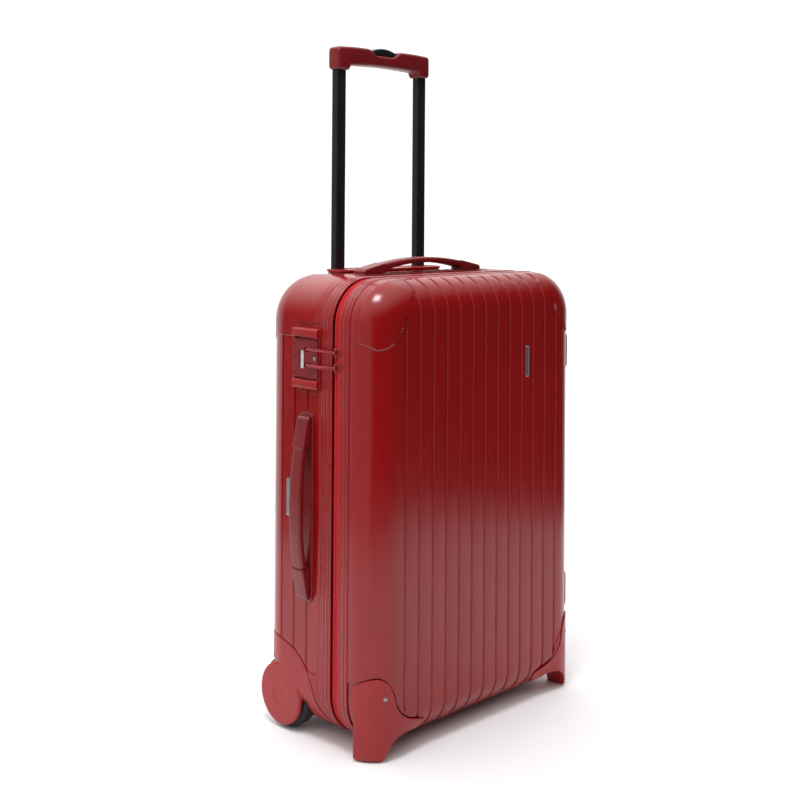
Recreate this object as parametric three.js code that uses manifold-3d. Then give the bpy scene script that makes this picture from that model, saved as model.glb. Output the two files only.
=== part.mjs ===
// Hard shell suitcase on two wheels, with a telescopic trolley handle.
// Millimetres, +Z up. The case stands upright: +X is its right side seen from the front,
// -Y its front (lid) and +Y its back. Working frame: X = 0 on the case's mid-plane,
// Y = 0 on the zipper plane, Z = 0 on the floor. The last lines move the origin to the
// middle of the bounding box's underside.

import * as THREE from 'three';
import { mergeVertices } from 'three/addons/utils/BufferGeometryUtils.js';
import Module from 'manifold-3d';

const wasm = await Module();
wasm.setup();

// ---------------------------------------------------------------- driving dimensions

const GAP = 0.3; // clearance between touching pieces

const CASE_HALF_WIDTH = 229;
const CASE_BOTTOM = 12;
const CASE_TOP = 665;
const FRONT_FACE = -79;
const BACK_FACE = 168;
const CORNER_RADIUS = 66; // corner of the front view
const FRONT_EDGE_RADIUS = 50; // rounding from the sides to the front face
const BACK_EDGE_RADIUS = 55;
const WALL = 2.2;

const GROOVE_PITCH = 28.1;
const GROOVE_WIDTH = 6;
const GROOVE_DEPTH = 1.1;
const GROOVES_EACH_SIDE = 6;
const OUTER_GROOVE_TOP = 634;
const OUTER_GROOVE_BOTTOM = 56;
const SIDE_GROOVES_Y = [32, 60, 88, 116];
const SIDE_GROOVE_TOP = 611;
const SIDE_GROOVE_BOTTOM = 66;

const RIM_START = 8.3; // the rim trim's edge beside the zipper
const RIM_END = 26.7;
const RIM_STEP = 2; // how far the shell steps in under the trim

const WHEEL_Y = 118;
const WHEEL_RADIUS = 50;
const TYRE_WIDTH = 24;
const TYRE_CENTRE_X = 208.5;
const CHEEK_OUTER = 5.5; // thickness of the housing's cheeks
const WELL_RADIUS = 53;
const HOUSING_INNER_X = 184;
const HOUSING_PROUD = 0.6;
const HOUSING_FRONT_Y = 27.6;
const AXLE_RADIUS = 4;

const POLE_X = 90.6;
const POLE_Y = 151;
const POLE_SIZE = [20, 14];
const POLE_WALL = 1.5;
const POLE_BOTTOM = 545;
const POLE_TOP = 1000;
const GUIDE_SIZE = [24.6, 18.6];
const GUIDE_BORE = [20.8, 14.8];
const GUIDE_BOTTOM = 60;
const BEZEL_BOTTOM = 667;
const BEZEL_TOP = 670.5;
const BEZEL_HALF_LENGTH = 116;
const BEZEL_Y = [112, 161];
const BEZEL_CORNER = 20;

const GRIP_TOP = 1022;
const GRIP_UNDERSIDE = 992;
const GRIP_LEG_BOTTOM = 984;
const GRIP_HALF_LENGTH = 103.5;
const GRIP_DEPTH = 27;

const HANDLE_HALF_LENGTH = 131;
const HANDLE_SEAM = 86;
const HANDLE_WIDTH = 25;
const HANDLE_ARCH = 25; // height of the grip's crown above the shell
const TOP_HANDLE_Y = 59;
const SIDE_HANDLE_Y = 62;
const SIDE_HANDLE_Z = 334.5;

const LOCK_Y = [33, 91];
const LOCK_Z = [505, 593];
const LOCK_FACE_X = -231.5;
const BUMPER_X = -237; // the bumper bars above and below the lock's plate
const COVER_FACE_X = -234;
const DIAL_X = -226.5;
const DIAL_Y = 70;
const DIAL_Z = 547;
const DIAL_PITCH = 9;
const DIAL_RADIUS = 6.8;
const RELEASE_Y = 41;
const RELEASE_Z = 550;
const PULL_Z = { upper: 562, lower: 540 };
const ZIP_BAR_X = -232.4;

const LINING_OFFSET = -5;
const LINING_THICKNESS = 1.2;
const LINING_BACK = 137;

const SIDE_FOOT_X = 238;

// ---------------------------------------------------------------- materials

function material(color, roughness, metalness = 0) {
  return new THREE.MeshStandardMaterial({ color, roughness, metalness });
}

const look = {
  shell: () => material(0x8e1418, 0.32),
  trim: () => material(0x9a1c20, 0.45),
  tape: () => material(0xb01018, 0.85),
  handle: () => material(0x7c181b, 0.5),
  black: () => material(0x141416, 0.45),
  metal: () => material(0x9a9a9c, 0.35, 0.9),
  blackMetal: () => material(0x121214, 0.4, 0.6),
  lining: () => material(0x2a2a2e, 0.9),
  rubber: () => material(0x1a1a1b, 0.8),
  white: () => material(0xe8e6e2, 0.4),
};

// ---------------------------------------------------------------- solids: cut and join

function signedVolume(geometry) {
  const p = geometry.getAttribute('position');
  const index = geometry.getIndex().array;
  const [a, b, c] = [new THREE.Vector3(), new THREE.Vector3(), new THREE.Vector3()];
  let volume = 0;
  for (let i = 0; i < index.length; i += 3) {
    a.fromBufferAttribute(p, index[i]);
    b.fromBufferAttribute(p, index[i + 1]);
    c.fromBufferAttribute(p, index[i + 2]);
    volume += a.dot(b.cross(c)) / 6;
  }
  return volume;
}

function solid(geometry) {
  const bare = geometry.clone();
  bare.deleteAttribute('normal');
  bare.deleteAttribute('uv');
  const merged = mergeVertices(bare, 1e-4);
  const index = Uint32Array.from(merged.getIndex().array);
  if (signedVolume(merged) < 0) index.reverse();
  const vertProperties = Float32Array.from(merged.getAttribute('position').array);
  return new wasm.Manifold(new wasm.Mesh({ numProp: 3, vertProperties, triVerts: index }));
}

function geometryOf(body) {
  const mesh = body.getMesh();
  const geometry = new THREE.BufferGeometry();
  geometry.setAttribute('position', new THREE.BufferAttribute(mesh.vertProperties, 3));
  geometry.setIndex(new THREE.BufferAttribute(mesh.triVerts, 1));
  geometry.computeVertexNormals();
  return geometry;
}

function join(...bodies) {
  return bodies.reduce((sum, body) => sum.add(body));
}

function box([x0, x1], [y0, y1], [z0, z1]) {
  const geometry = new THREE.BoxGeometry(x1 - x0, y1 - y0, z1 - z0);
  geometry.translate((x0 + x1) / 2, (y0 + y1) / 2, (z0 + z1) / 2);
  return solid(geometry);
}

// A cylinder along one axis ('x', 'y' or 'z') between two stations on it.
function rod(axis, radius, [from, to], centre, sides = 16) {
  const geometry = new THREE.CylinderGeometry(radius, radius, to - from, sides);
  if (axis === 'x') geometry.rotateZ(Math.PI / 2);
  if (axis === 'z') geometry.rotateX(Math.PI / 2);
  const middle = (from + to) / 2;
  const place = { x: [middle, ...centre], y: [centre[0], middle, centre[1]], z: [...centre, middle] };
  geometry.translate(...place[axis]);
  return solid(geometry);
}

// An outline in two axes, extruded along the third. 'x': outline (y, z); 'y': (x, z); 'z': (x, y).
function prism(axis, shape, [from, to], curveSegments = 8) {
  const geometry = new THREE.ExtrudeGeometry(shape, {
    depth: to - from,
    bevelEnabled: false,
    curveSegments,
  });
  const turn = new THREE.Matrix4();
  if (axis === 'x') turn.set(0, 0, 1, from, 1, 0, 0, 0, 0, 1, 0, 0, 0, 0, 0, 1);
  if (axis === 'y') turn.set(1, 0, 0, 0, 0, 0, 1, from, 0, 1, 0, 0, 0, 0, 0, 1);
  if (axis === 'z') turn.makeTranslation(0, 0, from);
  geometry.applyMatrix4(turn);
  return solid(geometry);
}

function outline(points) {
  return new THREE.Shape(points.map(([a, b]) => new THREE.Vector2(a, b)));
}

function roundedRectangle(a0, a1, b0, b1, radius) {
  const shape = new THREE.Shape();
  shape.moveTo(a0 + radius, b0);
  shape.lineTo(a1 - radius, b0);
  shape.absarc(a1 - radius, b0 + radius, radius, -Math.PI / 2, 0, false);
  shape.lineTo(a1, b1 - radius);
  shape.absarc(a1 - radius, b1 - radius, radius, 0, Math.PI / 2, false);
  shape.lineTo(a0 + radius, b1);
  shape.absarc(a0 + radius, b1 - radius, radius, Math.PI / 2, Math.PI, false);
  shape.lineTo(a0, b0 + radius);
  shape.absarc(a0 + radius, b0 + radius, radius, Math.PI, 1.5 * Math.PI, false);
  return shape;
}

function rectangleTube([width, depth], wall, [bottom, top], [x, y]) {
  const tubeOutline = (shrink, radius) =>
    roundedRectangle(
      x - width / 2 + shrink, x + width / 2 - shrink,
      y - depth / 2 + shrink, y + depth / 2 - shrink, radius);
  const outer = prism('z', tubeOutline(0, 3), [bottom, top], 2);
  const bore = prism('z', tubeOutline(wall, 1.8), [bottom - 1, top + 1], 2);
  return outer.subtract(bore);
}

// A turned ring or disc about an axis along X. Profile: closed list of [x, radius].
function turnedAboutX(profile, [y, z], sides = 24) {
  const points = [...profile, profile[0]].map(([x, radius]) => new THREE.Vector2(radius, x));
  const geometry = new THREE.LatheGeometry(points, sides);
  geometry.rotateZ(-Math.PI / 2);
  geometry.translate(0, y, z);
  return solid(geometry);
}

// ---------------------------------------------------------------- the case's rounded body

const CORNER_STEPS = 5;
const FILLET_STEPS = 4;

// One loop round the case at depth y, grown by `offset` from the outer side walls.
function caseLoop(offset, y) {
  const radius = Math.max(CORNER_RADIUS + offset, 9);
  const halfWidth = CASE_HALF_WIDTH + offset;
  const low = CASE_BOTTOM - offset;
  const high = CASE_TOP + offset;
  const centres = [
    [halfWidth - radius, low + radius, -90],
    [halfWidth - radius, high - radius, 0],
    [-halfWidth + radius, high - radius, 90],
    [-halfWidth + radius, low + radius, 180],
  ];
  const loop = [];
  for (const [cx, cz, start] of centres) {
    for (let i = 0; i <= CORNER_STEPS; i++) {
      const angle = THREE.MathUtils.degToRad(start + (90 * i) / CORNER_STEPS);
      loop.push([cx + radius * Math.cos(angle), y, cz + radius * Math.sin(angle)]);
    }
  }
  return loop;
}

function loft(loops, closed = false) {
  const count = loops[0].length;
  const position = loops.flat(2);
  const index = [];
  const last = closed ? loops.length : loops.length - 1;
  for (let r = 0; r < last; r++) {
    const next = (r + 1) % loops.length;
    for (let i = 0; i < count; i++) {
      const j = (i + 1) % count;
      const [a, b, c, d] = [r * count + i, r * count + j, next * count + j, next * count + i];
      index.push(a, b, c, a, c, d);
    }
  }
  if (!closed) {
    for (const [r, flip] of [[0, true], [loops.length - 1, false]]) {
      const centre = position.length / 3;
      position.push(0, loops[r][0][1], (CASE_BOTTOM + CASE_TOP) / 2);
      for (let i = 0; i < count; i++) {
        const [a, b] = [r * count + i, r * count + ((i + 1) % count)];
        if (flip) index.push(centre, b, a);
        else index.push(centre, a, b);
      }
    }
  }
  const geometry = new THREE.BufferGeometry();
  geometry.setAttribute('position', new THREE.Float32BufferAttribute(position, 3));
  geometry.setIndex(index);
  return solid(geometry);
}

// The case's outer form from openY to a face plane, grown by `offset` all over.
// `steps` are extra [y, offset] stations near the opening, for the stepped rim.
function caseBody(offset, openY, faceY, steps = []) {
  const side = Math.sign(faceY - openY);
  const radius = (side < 0 ? FRONT_EDGE_RADIUS : BACK_EDGE_RADIUS) + offset;
  const loops = steps.length ? steps.map(([y, o]) => caseLoop(o, y)) : [caseLoop(offset, openY)];
  for (let i = 0; i <= FILLET_STEPS; i++) {
    const angle = ((Math.PI / 2) * i) / FILLET_STEPS;
    const inset = radius * (1 - Math.cos(angle));
    loops.push(caseLoop(offset - inset, faceY + side * (offset - radius * (1 - Math.sin(angle)))));
  }
  return loft(loops);
}

function wholeCase(offset) {
  return join(caseBody(offset, -1, BACK_FACE), caseBody(offset, 1, FRONT_FACE));
}

// Slabs along the front and back faces, wrapping over the top and bottom edges.
function faceGrooveSlabs(fromY, toY) {
  const slabs = [];
  for (let k = -GROOVES_EACH_SIDE; k <= GROOVES_EACH_SIDE; k++) {
    const x = k * GROOVE_PITCH;
    const outermost = Math.abs(k) === GROOVES_EACH_SIDE;
    const span = outermost ? [OUTER_GROOVE_BOTTOM, OUTER_GROOVE_TOP] : [CASE_BOTTOM - 5, CASE_TOP + 5];
    slabs.push(box([x - GROOVE_WIDTH / 2, x + GROOVE_WIDTH / 2], [fromY, toY], span));
  }
  return join(...slabs);
}

function sideGrooveSlabs() {
  const slabs = [];
  for (const y of SIDE_GROOVES_Y) {
    for (const side of [-1, 1]) {
      const span = [side * 195, side * 240].sort((a, b) => a - b);
      const depth = [y - GROOVE_WIDTH / 2, y + GROOVE_WIDTH / 2];
      slabs.push(box(span, depth, [SIDE_GROOVE_BOTTOM, SIDE_GROOVE_TOP]));
    }
  }
  return join(...slabs);
}

// ---------------------------------------------------------------- wheel housings and feet regions

// Side view (y, z) of the corner that a wheel housing fills: an S-curve from the back down to the bottom.
function housingOutline(grow) {
  const shape = new THREE.Shape();
  shape.moveTo(BACK_FACE + 12, 134 + grow);
  shape.lineTo(132, 134 + grow);
  shape.bezierCurveTo(88 - grow, 131 + grow, 60 - grow, 110 + grow, 48 - grow, 78 + grow);
  const front = HOUSING_FRONT_Y - grow;
  shape.bezierCurveTo(40 - grow, 56 + grow, 37 - grow, 42 + grow, front, 34 + grow);
  shape.lineTo(front, 0);
  shape.lineTo(BACK_FACE + 12, 0);
  shape.closePath();
  return shape;
}

function housingRegion(side, grow) {
  const inner = side * (HOUSING_INNER_X - grow);
  const span = [inner, side * 245].sort((a, b) => a - b);
  return prism('x', housingOutline(grow), span, 5);
}

function wheelHousing(side) {
  const across = (from, to) => [side * from, side * to].sort((a, b) => a - b);
  const centre = [WHEEL_Y, WHEEL_RADIUS];
  const outerX = CASE_HALF_WIDTH + HOUSING_PROUD;
  const wellOuter = TYRE_CENTRE_X + TYRE_WIDTH / 2 + 3;
  const wellInner = TYRE_CENTRE_X - TYRE_WIDTH / 2 - 3;
  const region = housingRegion(side, 0);
  const skin = caseBody(HOUSING_PROUD, 2, BACK_FACE).subtract(caseBody(-3, 1, BACK_FACE)).intersect(region);
  const wellWall = rod('x', WELL_RADIUS + 2.5, across(wellInner - 4, outerX - 2), centre, 32)
    .intersect(caseBody(-0.5, 2, BACK_FACE));
  const well = rod('x', WELL_RADIUS, across(wellInner, wellOuter), centre, 32);
  const outerCheek = rod('x', 44, across(wellOuter, outerX), centre, 32);
  const innerCheek = rod('x', 40, across(wellInner - 4, wellInner), centre, 32);
  const pockets = rod('x', AXLE_RADIUS + GAP, across(wellInner - 2.6, wellOuter + 2.6), centre, 16);
  return join(skin, wellWall).subtract(well).add(outerCheek).add(innerCheek).subtract(pockets);
}

// ---------------------------------------------------------------- shells, trims, tapes, linings

function shell(face) {
  const side = Math.sign(face);
  const open = side * (RIM_START + 0.7);
  const step = side * (RIM_END + GAP);
  const outerSteps = [[open, -RIM_STEP], [step, -RIM_STEP], [step + side * 0.1, 0]];
  const innerOpen = open - side * 2;
  const innerSteps = [
    [innerOpen, -RIM_STEP - WALL],
    [step + side * 0.9, -RIM_STEP - WALL],
    [step + side * 1.8, -WALL],
  ];
  const outer = caseBody(0, open, face, outerSteps);
  const inner = caseBody(-WALL, innerOpen, face, innerSteps);
  const grooves = faceGrooveSlabs(...[step + side * 2, face + side * 8].sort((a, b) => a - b));
  return { outer, inner, grooves };
}

function rearShell() {
  const { outer, inner, grooves } = shell(BACK_FACE);
  const relief = join(grooves, sideGrooveSlabs()).subtract(caseBody(-GROOVE_DEPTH, 2, BACK_FACE));
  const lockWindow = box([-240, -200], [LOCK_Y[0] - GAP, LOCK_Y[1] + GAP], [LOCK_Z[0] - GAP, LOCK_Z[1] + GAP]);
  let body = outer.subtract(inner).subtract(relief).subtract(lockWindow);
  for (const side of [-1, 1]) {
    const [w, d] = GUIDE_SIZE;
    const hole = box(
      [side * POLE_X - w / 2 - GAP, side * POLE_X + w / 2 + GAP],
      [POLE_Y - d / 2 - GAP, POLE_Y + d / 2 + GAP], [600, CASE_TOP + 1]);
    body = body.subtract(hole).subtract(housingRegion(side, GAP));
  }
  return body;
}

function frontShell() {
  const { outer, inner, grooves } = shell(FRONT_FACE);
  const relief = grooves.subtract(caseBody(-GROOVE_DEPTH, -2, FRONT_FACE));
  return outer.subtract(inner).subtract(relief);
}

// A band right round the case. Profile: closed list of [offset, y].
function band(profile) {
  return loft(profile.map(([offset, y]) => caseLoop(offset, y)), true);
}

function rimTrim(side) {
  const profile = [
    [-1.7, RIM_START], [0.4, RIM_START], [0.8, 10], [0.8, 16], [-0.3, 17.5],
    [0.8, 19], [0.8, 25.5], [0.2, RIM_END], [-1.7, RIM_END],
  ];
  return band(profile.map(([offset, y]) => [offset, side * y]));
}

function zipTape(side) {
  const [near, far] = [GAP / 2 + 0.1, RIM_START + 0.4];
  return band([[-4, near], [-2.6, near], [-2.6, far], [-4, far]].map(([o, y]) => [o, side * y]));
}

function rearLining() {
  const keepOut = (grow) => {
    const blocks = [box([-245, -205 + grow], [28 - grow, 96 + grow], [500 - grow, 598 + grow])];
    for (const side of [-1, 1]) {
      const span = [side * (HOUSING_INNER_X - 2 - grow), side * 245].sort((a, b) => a - b);
      blocks.push(box(span, [12 - grow, BACK_FACE + 12], [0, 138 + grow]));
    }
    return join(...blocks);
  };
  const outside = caseBody(LINING_OFFSET, 14, LINING_BACK).subtract(keepOut(0));
  const inside = caseBody(LINING_OFFSET - LINING_THICKNESS, 11, LINING_BACK).subtract(keepOut(LINING_THICKNESS));
  return outside.subtract(inside);
}

function frontLining() {
  const outside = caseBody(LINING_OFFSET, -14, FRONT_FACE);
  const inside = caseBody(LINING_OFFSET - LINING_THICKNESS, -11, FRONT_FACE);
  return outside.subtract(inside);
}

function hingeStrip() {
  const x = CASE_HALF_WIDTH + LINING_OFFSET;
  return box([x - 0.2, x + 0.5], [1, 12], [120, 570]);
}

function packingStraps() {
  const bars = [];
  for (const lean of [-1, 1]) {
    const geometry = new THREE.BoxGeometry(25, 1.4, 440);
    geometry.rotateY(THREE.MathUtils.degToRad(lean * 38));
    geometry.translate(0, LINING_BACK - 8.5, 350);
    bars.push(solid(geometry));
  }
  return join(...bars);
}

function strapBuckle() {
  const plate = prism('y', roundedRectangle(-24, 24, 335, 365, 6), [LINING_BACK - 15.5, LINING_BACK - 9.6], 3);
  const slot = box([-15, 15], [LINING_BACK - 17, LINING_BACK - 13.5], [345, 355]);
  return plate.subtract(slot);
}

// ---------------------------------------------------------------- feet, badges

// Front view (x, z) of the left foot's casing, from the corner's side round to its inner tip.
function footOutline() {
  const shape = new THREE.Shape();
  shape.moveTo(-240, 0);
  shape.lineTo(-202, 0);
  shape.bezierCurveTo(-200, 18, -190, 33, -165, 33);
  shape.bezierCurveTo(-150, 33, -138, 28, -128, 27);
  shape.bezierCurveTo(-122, 28, -121, 40, -128, 42);
  shape.bezierCurveTo(-150, 48, -176, 52, -186, 80);
  shape.bezierCurveTo(-190, 102, -200, 118, -215, 115);
  shape.lineTo(-240, 98);
  shape.closePath();
  return shape;
}

function frontFootLeft() {
  const region = prism('y', footOutline(), [FRONT_FACE - 8, -40], 5);
  const proud = 2.2;
  const reach = CASE_HALF_WIDTH + proud;
  const radius = FRONT_EDGE_RADIUS + proud;
  const front = FRONT_FACE - proud;
  const plan = new THREE.Shape();
  plan.moveTo(-reach, -10);
  plan.lineTo(-reach, front + radius);
  plan.absarc(-reach + radius, front + radius, radius, Math.PI, 1.5 * Math.PI, false);
  plan.bezierCurveTo(-165, front, -150, front + 8, -136, front + 36);
  plan.lineTo(-136, -10);
  plan.closePath();
  const column = prism('z', plan, [0, 93], 7);
  return join(caseBody(proud, -2, FRONT_FACE), column).intersect(region).subtract(wholeCase(GAP));
}

function mirrored(body) {
  return body.mirror([1, 0, 0]);
}

function footRivet(side) {
  const normal = new THREE.Vector3(side * 0.44, -0.898, 0).normalize();
  const radius = FRONT_EDGE_RADIUS + 2.2 + GAP + 0.6;
  const cornerX = side * (CASE_HALF_WIDTH - FRONT_EDGE_RADIUS);
  const centre = new THREE.Vector3(cornerX, FRONT_FACE + FRONT_EDGE_RADIUS, 88);
  const geometry = new THREE.CylinderGeometry(2.2, 3.2, 1.2, 12);
  geometry.applyQuaternion(new THREE.Quaternion().setFromUnitVectors(new THREE.Vector3(0, 1, 0), normal));
  const place = centre.addScaledVector(normal, radius);
  geometry.translate(place.x, place.y, place.z);
  return solid(geometry);
}

function sideFoot([y0, y1], [z0, z1]) {
  const profile = outline([
    [215, z0], [232, z0], [SIDE_FOOT_X - 2, z0 + 3], [SIDE_FOOT_X, z0 + 8],
    [SIDE_FOOT_X, z1 - 8], [SIDE_FOOT_X - 2, z1 - 3], [232, z1], [215, z1],
  ]);
  return prism('y', profile, [y0, y1]).subtract(wholeCase(GAP));
}

function badge(axis, [a0, a1], [z0, z1], span) {
  return prism(axis, roundedRectangle(a0, a1, z0, z1, (a1 - a0) / 2 - 0.01), span, 4);
}

// ---------------------------------------------------------------- wheels

function tyre(side) {
  const half = TYRE_WIDTH / 2;
  const x = side * TYRE_CENTRE_X;
  return turnedAboutX([
    [x - half, 38.5], [x - half, 45], [x - half + 3, WHEEL_RADIUS - 1], [x - 5, WHEEL_RADIUS],
    [x + 5, WHEEL_RADIUS], [x + half - 3, WHEEL_RADIUS - 1], [x + half, 45], [x + half, 38.5],
  ], [WHEEL_Y, WHEEL_RADIUS], 28);
}

function hub(side) {
  const x = side * TYRE_CENTRE_X;
  return turnedAboutX([
    [x - 10, 11.4], [x - 10, 16], [x - 4, 18], [x - 4, 31], [x - 11, 33], [x - 11, 38.2],
    [x + 11, 38.2], [x + 11, 33], [x + 4, 31], [x + 4, 18], [x + 10, 16], [x + 10, 11.4],
  ], [WHEEL_Y, WHEEL_RADIUS], 18);
}

function bearing(side) {
  const x = side * TYRE_CENTRE_X;
  const profile = [[x - 9, 4.3], [x - 9, 11], [x + 9, 11], [x + 9, 4.3]];
  return turnedAboutX(profile, [WHEEL_Y, WHEEL_RADIUS], 18);
}

function axle(side) {
  const reach = TYRE_WIDTH / 2 + 3 + 2.3;
  const span = [side * (TYRE_CENTRE_X - reach), side * (TYRE_CENTRE_X + reach)].sort((a, b) => a - b);
  return rod('x', AXLE_RADIUS, span, [WHEEL_Y, WHEEL_RADIUS], 16);
}

// ---------------------------------------------------------------- trolley

function guideTube(side) {
  const wall = (GUIDE_SIZE[0] - GUIDE_BORE[0]) / 2;
  return rectangleTube(GUIDE_SIZE, wall, [GUIDE_BOTTOM, BEZEL_BOTTOM - GAP], [side * POLE_X, POLE_Y]);
}

function guideBridge() {
  const half = GUIDE_SIZE[1] / 2 - 1;
  const bar = box([-106, 106], [POLE_Y - half, POLE_Y + half], [47, GUIDE_BOTTOM - GAP]);
  return bar.intersect(caseBody(-WALL - GAP, 1, BACK_FACE));
}

// The plate round the poles, with a skirt that fills the space down to the rounded shell.
function trolleyBezel() {
  const bezelOutline = (shrink) => roundedRectangle(
    -BEZEL_HALF_LENGTH + shrink, BEZEL_HALF_LENGTH - shrink,
    BEZEL_Y[0] + shrink, BEZEL_Y[1] - shrink, BEZEL_CORNER - shrink);
  let skirt = prism('z', bezelOutline(2), [620, BEZEL_BOTTOM + 1], 5).subtract(wholeCase(GAP));
  const boreBox = (side, [w, d], bottom, top) => box(
    [side * POLE_X - w / 2, side * POLE_X + w / 2], [POLE_Y - d / 2, POLE_Y + d / 2], [bottom, top]);
  for (const side of [-1, 1]) {
    const clearance = GUIDE_SIZE.map((size) => size + 2 * GAP);
    skirt = skirt.subtract(boreBox(side, clearance, 600, BEZEL_BOTTOM));
  }
  let plate = prism('z', bezelOutline(0), [BEZEL_BOTTOM, BEZEL_TOP], 5).add(skirt);
  for (const side of [-1, 1]) plate = plate.subtract(boreBox(side, GUIDE_BORE, 600, 700));
  return plate;
}

function pole(side) {
  return rectangleTube(POLE_SIZE, POLE_WALL, [POLE_BOTTOM, POLE_TOP], [side * POLE_X, POLE_Y]);
}

function trolleyGrip() {
  const half = GRIP_HALF_LENGTH;
  const legInner = 78;
  const front = new THREE.Shape();
  front.moveTo(-half + 3, GRIP_LEG_BOTTOM);
  front.lineTo(-legInner - 2, GRIP_LEG_BOTTOM);
  front.lineTo(-legInner, GRIP_UNDERSIDE - 1);
  front.quadraticCurveTo(0, GRIP_UNDERSIDE + 5, legInner, GRIP_UNDERSIDE - 1);
  front.lineTo(legInner + 2, GRIP_LEG_BOTTOM);
  front.lineTo(half - 3, GRIP_LEG_BOTTOM);
  front.lineTo(half, GRIP_LEG_BOTTOM + 8);
  front.lineTo(half, GRIP_TOP - 7);
  front.lineTo(half - 4, GRIP_TOP - 2);
  front.quadraticCurveTo(half - 30, GRIP_TOP, 34, GRIP_TOP);
  front.bezierCurveTo(20, GRIP_TOP - 1, 18, GRIP_TOP - 10, 0, GRIP_TOP - 10);
  front.bezierCurveTo(-18, GRIP_TOP - 10, -20, GRIP_TOP - 1, -34, GRIP_TOP);
  front.quadraticCurveTo(-half + 30, GRIP_TOP, -half + 4, GRIP_TOP - 2);
  front.lineTo(-half, GRIP_TOP - 7);
  front.lineTo(-half, GRIP_LEG_BOTTOM + 8);
  front.closePath();
  const depth = [POLE_Y - GRIP_DEPTH / 2, POLE_Y + GRIP_DEPTH / 2];
  let grip = prism('y', front, depth, 4);
  const plan = roundedRectangle(-half - 1, half + 1, ...depth, 7);
  grip = grip.intersect(prism('z', plan, [GRIP_LEG_BOTTOM - 1, GRIP_TOP + 1], 3));
  const buttonWell = box([-33, 33], [POLE_Y - 10.4, POLE_Y + 10.4], [1000, GRIP_TOP + 1]);
  const rodChannel = box([-97, 97], [POLE_Y - 5, POLE_Y + 5], [997, 1011]);
  grip = grip.subtract(buttonWell).subtract(rodChannel);
  for (const side of [-1, 1]) {
    const socket = box(
      [side * POLE_X - POLE_SIZE[0] / 2 - GAP, side * POLE_X + POLE_SIZE[0] / 2 + GAP],
      [POLE_Y - POLE_SIZE[1] / 2 - GAP, POLE_Y + POLE_SIZE[1] / 2 + GAP],
      [GRIP_LEG_BOTTOM - 1, POLE_TOP + GAP]);
    grip = grip.subtract(socket);
  }
  return grip;
}

function trolleyButton() {
  const face = new THREE.Shape();
  face.moveTo(-31, 1011.5);
  face.lineTo(31, 1011.5);
  face.lineTo(31, GRIP_TOP - 4);
  face.quadraticCurveTo(0, GRIP_TOP + 10, -31, GRIP_TOP - 4);
  face.closePath();
  const cap = prism('y', face, [POLE_Y - 9.8, POLE_Y + 9.8], 8);
  const stem = box([-8, 8], [POLE_Y - 4, POLE_Y + 4], [1008, 1012]);
  const bar = box([-95, 95], [POLE_Y - 4, POLE_Y + 4], [1005.5, 1009]);
  return join(cap, stem, bar);
}

function pushRod(side) {
  return rod('z', 2.5, [POLE_BOTTOM + 10, 1005.2], [side * POLE_X, POLE_Y], 10);
}

class Helix extends THREE.Curve {
  constructor(radius, turns, bottom, height) {
    super();
    Object.assign(this, { radius, turns, bottom, height });
  }

  getPoint(t, target = new THREE.Vector3()) {
    const angle = 2 * Math.PI * this.turns * t;
    const along = this.bottom + this.height * t;
    return target.set(this.radius * Math.cos(angle), POLE_Y + this.radius * Math.sin(angle), along);
  }
}

function buttonSpring() {
  const wire = new THREE.Shape();
  wire.absarc(0, 0, 0.45, 0, 2 * Math.PI, false);
  const path = new Helix(3.2, 3, 997.8, 6.9);
  return solid(new THREE.ExtrudeGeometry(wire, { steps: 24, curveSegments: 3, extrudePath: path }));
}

// ---------------------------------------------------------------- carry handles

// Local frame of a handle: x along it, y across it, z off the shell.
function handlePlate() {
  return prism('z', roundedRectangle(-136, 136, -15, 15, 6), [GAP, 2], 3);
}

function handleCap(end) {
  const profile = outline([
    [HANDLE_SEAM + GAP, 2.3], [HANDLE_HALF_LENGTH, 2.3], [HANDLE_HALF_LENGTH, 6],
    [HANDLE_HALF_LENGTH - 7, 10], [HANDLE_SEAM + GAP, 18],
  ]);
  const body = prism('y', profile, [-HANDLE_WIDTH / 2, HANDLE_WIDTH / 2]);
  const pocket = box([HANDLE_SEAM - 1, 112], [-9, 9], [4, 15.4]);
  const cap = body.subtract(pocket.intersect(prism('y', outline([
    [HANDLE_SEAM - 1, 3], [113, 3], [113, 11], [HANDLE_SEAM - 1, 15.6],
  ]), [-10, 10])));
  return end > 0 ? cap : cap.mirror([1, 0, 0]);
}

function handleGrip() {
  const profile = new THREE.Shape();
  profile.moveTo(-HANDLE_SEAM, 6);
  profile.quadraticCurveTo(0, 27, HANDLE_SEAM, 6);
  profile.lineTo(HANDLE_SEAM, 18);
  profile.quadraticCurveTo(0, 2 * HANDLE_ARCH - 18, -HANDLE_SEAM, 18);
  profile.closePath();
  const arch = prism('y', profile, [-HANDLE_WIDTH / 2, HANDLE_WIDTH / 2], 8);
  const tongue = box([-HANDLE_SEAM - 9, HANDLE_SEAM + 9], [-8, 8], [5, 9]);
  const middle = box([-HANDLE_SEAM + 3, HANDLE_SEAM - 3], [-20, 20], [0, 30]);
  return join(arch, tongue.subtract(middle));
}

const onTop = new THREE.Matrix4().makeTranslation(0, TOP_HANDLE_Y, CASE_TOP);
// Along +Z, across Y, off the left wall along -X.
const onSide = new THREE.Matrix4().set(
  0, 0, -1, -CASE_HALF_WIDTH,
  0, 1, 0, SIDE_HANDLE_Y,
  1, 0, 0, SIDE_HANDLE_Z,
  0, 0, 0, 1);

// ---------------------------------------------------------------- lock and zip

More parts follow.
